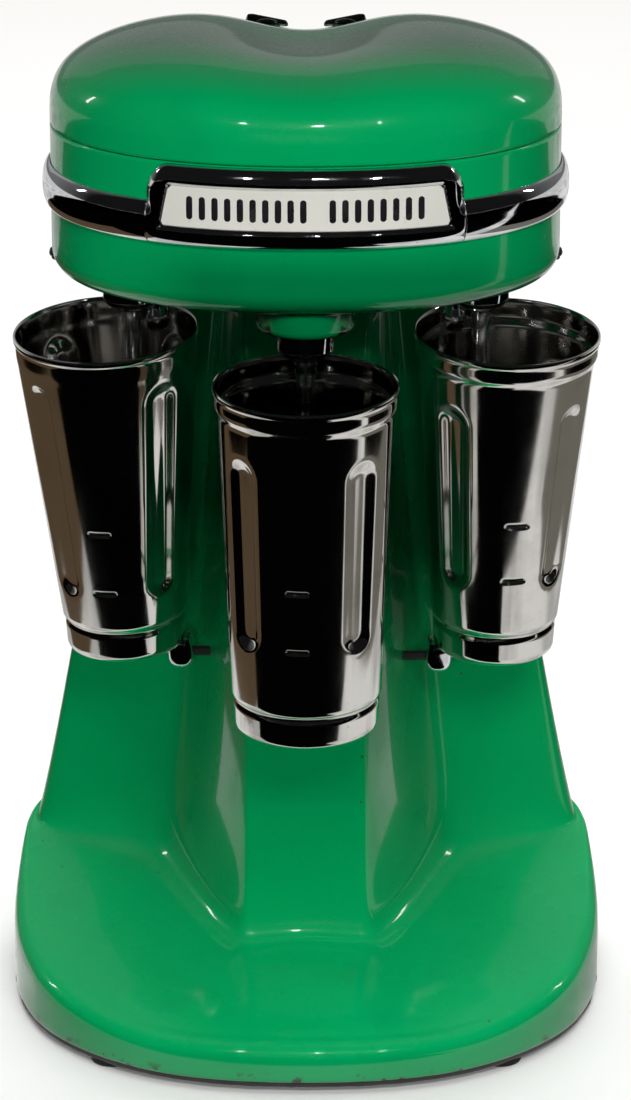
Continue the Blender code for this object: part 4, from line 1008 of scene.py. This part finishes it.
def make_cup(name, station):
    look = CUP_LOOKS[name]
    length, depths, radii = cup_section(station, look)
    bottom, top = station["radii"]
    degrees = list(np.linspace(-180.0, 180.0, 176, endpoint=False))
    degrees += list(np.linspace(look["mark"] - 12.0, look["mark"] + 12.0, 33))
    degrees = thinned(degrees, 4, 0.25)
    foot = Vector(station["foot"])
    axis = (Vector(station["rim"]) - foot).normalized()
    across = axis.cross(Vector((0.0, 1.0, 0.0))).normalized()
    ahead = axis.cross(across).normalized()
    turn = np.radians(degrees)
    radial = np.outer(np.cos(turn), np.array(ahead)) - np.outer(np.sin(turn), np.array(across))

    def ring(depth, radius):
        centre = np.array(foot) + np.array(axis) * (length - depth)
        return centre + radial * np.broadcast_to(radius, len(degrees))[:, None]

    bead = [ring(depth, top + out)
            for depth, out in ((0.0034, -0.0001), (0.0028, 0.0003), (0.0019, 0.0005),
                               (0.0009, 0.0004), (0.0002, 0.0001), (0.0, -0.0006),
                               (0.0004, -0.0011), (0.0030, -0.0014))]
    outside, inside = [], []
    for depth, radius in zip(depths, radii):
        dents = cup_dents(look, degrees, depth, radius, length)
        outside.append(ring(depth, radius - dents))
        if depth < length - 0.0060:
            inside.append(ring(depth, radius - CUP_WALL - dents))
    floor_depth = length - 0.0040
    floor_radius = bottom - 0.0014
    floor = [ring(floor_depth - 0.0010, floor_radius - 0.0006),
             ring(floor_depth, floor_radius - 0.0026),
             ring(floor_depth + 0.0002, floor_radius * 0.5), ring(floor_depth + 0.0002, 0.00001)]
    under = [ring(length - lift, radius)
             for lift, radius in ((0.0028, 0.00001), (0.0028, bottom * 0.5),
                                  (0.0026, bottom - 0.0072), (0.0012, bottom - 0.0056),
                                  (0.0, bottom - 0.0044))]
    cup = skin("steel_cup_" + name, under + outside[::-1] + bead + inside[1:] + floor, CUP_STEEL,
               50.0)
    stands_for(cup, "cup_" + name)


def make_rest(name, station):
    """A chromed ledge under the cup's rear edge, and its stem to the pier, painted black as painted
    shade where it crosses the shadow behind the cup.
    """
    foot = Vector(station["foot"])
    inward = Vector((*REST_PLACES[name], 0.0)) - Vector((foot.x, foot.y, 0.0))
    distance = inward.length
    inward.normalize()
    upward = (Vector(station["rim"]) - foot).normalized()
    across = upward.cross(inward).normalized()
    along = across.cross(upward)
    radius = station["radii"][0]
    bottom = -GAP - REST_DEPTH
    corners = ((-0.0100, -GAP - 0.0020), (-0.0088, -GAP), (0.0010, -GAP), (0.0012, 0.0035),
               (0.0030, 0.0035), (0.0040, -0.0030), (0.0042, -0.0095), (0.0010, bottom),
               (-0.0065, bottom), (-0.0098, -GAP - 0.0110))
    outline = rounded([(radius + out, lift) for out, lift in corners], 0.0030, 5, closed=True)
    middle = np.mean(np.array(outline), 0)
    rings = []
    for turn in np.radians(np.linspace(-90.0, 90.0, 15)):
        squeeze = mix(0.72, 1.0, math.cos(turn) ** 0.55)
        side = REST_HALF_WIDTH[name] * math.sin(turn)
        rings.append([foot + along * out + upward * lift + across * side
                      for out, lift in middle + (np.array(outline) - middle) * squeeze])
    rest = skin("chrome_rest_" + name, rings, CHROME, 50.0, cap_first=True, cap_last=True)
    stands_for(rest, "cup_rest_" + name)
    reach = distance + 0.010 - radius
    # Painted shade: the stem is black so that it sinks into the shadow between cup and pier.
    stem = turned("rest_stem_" + name, [(0.0, 0.0), (STEM_RADIUS, 0.0), (STEM_RADIUS, reach),
                                        (0.0, reach)], BLACK_PAINT, 40)
    start = foot + along * (radius + 0.0020) - upward * (GAP + REST_DEPTH * 0.45)
    aim(stem, start, along)
    joins(stem, "cup_rest_" + name)


# ---- switches
def make_knob(name, x, y):
    """A round skirt with a wedge-shaped finger bar, thick at one end, and an index line."""
    bar_start, bar_end = -0.0112, 0.0107
    bar_low, bar_high, bar_level_from = 0.0044, 0.0078, 0.82
    thick_end = -1.0 if name == "right" else 1.0
    bm = bmesh.new()
    skirt = rounded([(0.0, -0.0110), (0.0026, -0.0110), (0.0026, 0.0014), (0.0070, 0.0014),
                     (0.0069, 0.0028), (0.0060, 0.0038), (0.0, 0.0040)], 0.0005)
    add_rings(bm, turned_rings(skirt, 56))
    rings = []
    for share in np.linspace(0.0, 1.0, 25):
        along = thick_end * mix(bar_start, bar_end, share)
        end = min(share, 1.0 - share)
        tuck = math.sqrt(max(0.0, 1.0 - (1.0 - min(1.0, end / 0.09)) ** 2))
        height = mix(bar_low, bar_high, min(1.0, share / bar_level_from)) * mix(0.72, 1.0, tuck)
        half = mix(0.0026, 0.0040, share) * mix(0.45, 1.0, tuck)
        section = rounded([(-half, 0.0022), (half, 0.0022), (half * 0.72, height),
                           (-half * 0.72, height)], 0.0011, 4, closed=True)
        rings.append([(along, across, up) for across, up in section])
    add_rings(bm, rings, cap_first=True, cap_last=True)
    knob = finished_object("bakelite_knob_" + name, bm, BAKELITE, 45.0)
    slope = float((cover_height(x, y + 0.0005) - cover_height(x, y - 0.0005)) / 0.001)
    normal = Vector((0.0, -slope, 1.0)).normalized()
    aim(knob, (x, y, float(cover_height(x, y))), normal)
    stands_for(knob, "switch_knob_" + name)

    middle = -0.0050
    length = bar_end - bar_start
    share = (middle - bar_start) / length
    height = mix(bar_low, bar_high, share / bar_level_from) + 0.0001
    tilt = math.atan2(bar_high - bar_low, length * bar_level_from)
    bm = bmesh.new()
    add_box(bm, (0.0070, 0.0007, 0.0003), (0.0, 0.0, 0.0))
    bmesh.ops.rotate(bm, verts=bm.verts, cent=(0.0, 0.0, 0.0),
                     matrix=Matrix.Rotation(-tilt * thick_end, 3, "Y"))
    bmesh.ops.translate(bm, verts=bm.verts, vec=(thick_end * middle, 0.0, height))
    line = finished_object("knob_line_" + name, bm, PLATE_METAL)
    aim(line, knob.location, normal)
    joins(line, "switch_knob_" + name)


# ---- studio
FLAG_NEAR = -0.16
FLAG_FAR = 1.2
STUDIO_END = 13.0


def hide_from(made, *rays):
    for ray in rays:
        setattr(made, "visible_" + ray, False)


def make_sheets(name, sheets, finish):
    """Flat four-cornered sheets as one object."""
    bm = bmesh.new()
    for corners in sheets:
        bm.faces.new([bm.verts.new(corner) for corner in corners])
    return finished_object(name, bm, finish.material)


def flag_card(name, across, along, finish):
    """A dark sheet on the floor that only polished surfaces see."""
    corners = [(x, y, 0.0015) for x, y in ((across[0], along[0]), (across[1], along[0]),
                                           (across[1], along[1]), (across[0], along[1]))]
    flag = make_sheets(name, [corners], finish)
    hide_from(flag, "camera", "diffuse", "shadow", "transmission", "volume_scatter")


def make_floor():
    """A pale floor that glows: painted reflection patches seen only by polished surfaces, a faint
    painted glow as fill light, and a white cove far away.
    """
    bm = bmesh.new()
    bmesh.ops.create_grid(bm, x_segments=8, y_segments=8, size=14.0)
    finish = Finish("pale_floor", (0.84, 0.84, 0.83), 0.55)
    finish.mottle((0.81, 0.81, 0.80), 0.4, 0.7, 1.0, 1.5, 3.0)
    output = next(node for node in finish.tree.nodes if node.type == "OUTPUT_MATERIAL")
    surface = output.inputs["Surface"].links[0].from_socket
    path = finish.node("LightPath")
    reach = finish.node("VectorMath")
    reach.operation = "LENGTH"
    finish.link(finish.node("TexCoord").outputs["Object"], reach.inputs[0])
    away = finish.ranged(reach.outputs["Value"], 0.9, 2.5, 0.0, 1.0)
    cove = finish.maths("MULTIPLY", away, path.outputs["Is Camera Ray"])
    # Painted reflection: the floor glows in noise patches for glossy rays only, and glows faintly for
    # diffuse rays as painted fill light.
    painted_reflection_patches = finish.ranged(finish.noise(3.2, 5.0, 0.6), 0.42, 0.56, 0.48, 0.80)
    for share, strength in ((path.outputs["Is Glossy Ray"], painted_reflection_patches),
                            (path.outputs["Is Diffuse Ray"], 0.05), (cove, 0.95)):
        glow = finish.node("Emission", Color=(1.0, 0.99, 0.97, 1.0))
        if isinstance(strength, float):
            glow.inputs["Strength"].default_value = strength
        else:
            finish.link(strength, glow.inputs["Strength"])
        blend = finish.node("MixShader")
        for socket, source in zip(blend.inputs, (share, surface, glow.outputs["Emission"])):
            finish.link(source, socket)
        surface = blend.outputs["Shader"]
    finish.link(surface, output.inputs["Surface"])
    finished_object("studio_floor", bm, finish.material)


def make_cards():
    """Dark cards: some on the floor for reflections, some upright and overhead for shade."""
    black = Finish("black_flag", (0.0005, 0.0005, 0.0005), 0.9)
    brown = Finish("brown_flag", (0.062, 0.042, 0.024), 0.9)
    grey = Finish("grey_flag", (0.110, 0.105, 0.090), 0.9)
    for finish in (black, brown, grey):
        finish.shader.inputs["Specular IOR Level"].default_value = 0.0
    beside = (FLAG_NEAR, FLAG_FAR)
    flag_card("front_flag", (-STUDIO_END, 0.15), (-STUDIO_END, FLAG_NEAR), black)
    flag_card("front_right_flag", (0.15, STUDIO_END), (-STUDIO_END, -0.30), black)
    flag_card("right_flag", (0.50, 0.80), beside, grey)
    flag_card("far_right_flag", (0.80, STUDIO_END), beside, black)
    flag_card("left_flag", (-0.80, -0.42), beside, brown)
    flag_card("far_left_flag", (-STUDIO_END, -0.80), beside, black)

    sheets = [[(left, y, low), (right, y, low), (right, y, high), (left, y, high)]
              for left, right, y, low, high in ((-0.075, 0.100, -0.21, 0.270, 0.455),
                                                (-0.10, 0.10, -0.085, 0.285, 0.400))]
    sheets.append([(-0.16, -0.15, 0.60), (0.16, -0.15, 0.60), (0.16, 0.11, 0.60),
                   (-0.16, 0.11, 0.60)])
    shade_cards = make_sheets("shade_cards", sheets, black)
    hide_from(shade_cards, "camera", "glossy", "transmission", "volume_scatter")


def make_world():
    """Dark in front of the machine, dim behind it, and white to the camera."""
    world = bpy.data.worlds.new("studio")
    bpy.context.scene.world = world
    world.use_nodes = True
    tree = world.node_tree
    links = tree.links
    background = tree.nodes["Background"]
    split = new_node(tree, "SeparateXYZ")
    links.new(new_node(tree, "TexCoord").outputs["Generated"], split.inputs["Vector"])
    behind = new_node(tree, "MapRange", From_Min=0.05, From_Max=0.70, To_Min=0.008, To_Max=0.17)
    links.new(split.outputs["Y"], behind.inputs["Value"])
    pick = new_node(tree, "Mix", B=0.95)
    links.new(new_node(tree, "LightPath").outputs["Is Camera Ray"], pick.inputs["Factor"])
    links.new(behind.outputs["Result"], pick.inputs["A"])
    links.new(pick.outputs["Result"], background.inputs["Strength"])
    background.inputs["Color"].default_value = (0.98, 0.99, 1.0, 1.0)


def area_light(name, place, target, size, watts, seen="both"):
    """A soft light; seen says whether gloss, diffuse or both catch it."""
    data = bpy.data.lights.new(name, "AREA")
    data.shape = "RECTANGLE"
    data.size, data.size_y = size
    data.energy = watts
    light = bpy.data.objects.new(name, data)
    bpy.context.scene.collection.objects.link(light)
    light.location = place
    light.rotation_euler = (Vector(target) - Vector(place)).to_track_quat("-Z", "Y").to_euler()
    light.visible_camera = False
    light.visible_glossy = seen != "diffuse"
    light.visible_diffuse = seen != "gloss"


def make_lights():
    area_light("overhead", (0.0, 0.10, 2.4), (0.0, 0.0, 0.0), (2.6, 1.8), 54.0, seen="diffuse")
    area_light("front_high", (0.30, -2.0, 1.75), (0.0, 0.0, 0.2), (1.0, 0.7), 32.0, seen="diffuse")
    area_light("front_low", (-0.10, -2.3, 0.75), (0.0, 0.0, 0.1), (0.9, 0.4), 27.0, seen="diffuse")
    area_light("rear_fill", (0.0, 2.6, 2.2), (0.0, 2.4, 0.0), (4.0, 2.0), 90.0, seen="diffuse")
    area_light("left_side", (-1.7, -0.9, 1.0), (0.0, 0.0, 0.2), (0.7, 1.4), 0.8, seen="diffuse")
    area_light("right_side", (1.7, -0.9, 1.0), (0.0, 0.0, 0.2), (0.7, 1.4), 1.6, seen="diffuse")
    area_light("haze", (0.0, 1.60, 1.20), (0.0, 0.0, 0.5), (2.6, 1.0), 1.4, seen="gloss")
    for number, x in enumerate((-0.72, 0.10, 0.92)):
        area_light("front_lamp_%d" % number, (x, -2.3, 1.9), (0.0, 0.0, 0.3), (0.06, 0.04), 2.2)
    area_light("left_window", (-1.5, 0.35, 1.05), (0.0, 0.0, 0.5), (0.05, 0.32), 1.0)
    area_light("right_window", (1.5, 0.35, 1.10), (0.0, 0.0, 0.5), (0.06, 0.36), 1.2)


def make_camera():
    down = math.radians(19.0)
    distance = 2.6
    target = Vector((0.0049, 0.0, 0.254))
    data = bpy.data.cameras.new("front")
    data.sensor_fit = "VERTICAL"
    data.sensor_height = 24.0
    data.lens = 24.0 * 5019.0 / 1100.0
    camera = bpy.data.objects.new("front", data)
    bpy.context.scene.collection.objects.link(camera)
    camera.location = target - Vector((0.0, math.cos(down), -math.sin(down))) * distance
    camera.rotation_euler = (PI / 2 - down, 0.0, 0.0)
    bpy.context.scene.camera = camera


# ---- build
make_camera()
make_floor()
make_cards()
make_world()
make_lights()
make_stand()
make_base_plate()
make_feet()
make_cover()
make_housing()
make_band()
make_plate()
make_motif()
make_side_screws()
for name, station in STATIONS.items():
    make_spindle(name, station)
    make_hook(name, station)
    make_cup(name, station)
    make_rest(name, station)
make_knob("left", -KNOB_X, KNOB_Y)
make_knob("centre", 0.0, REAR_KNOB_Y)
make_knob("right", KNOB_X, KNOB_Y)

INNER_FINISHES = {"motor_iron": IRON, "zinc_steel": ZINC, "bearing_bronze": BRONZE,
                  "black_bakelite": BAKELITE, "black_rubber": RUBBER, "black_paint": BLACK_PAINT,
                  "chrome": CHROME, "stainless_steel": SHAFT_STEEL, "green_enamel": ENAMEL,
                  "plate_cream": PLATE_METAL}
for node, carried in frame["nodes"].items():
    for slot in carried.material_slots:
        slot.material = INNER_FINISHES[SLOT_OF[node]]

bpy.context.scene.view_settings.view_transform = "Standard"
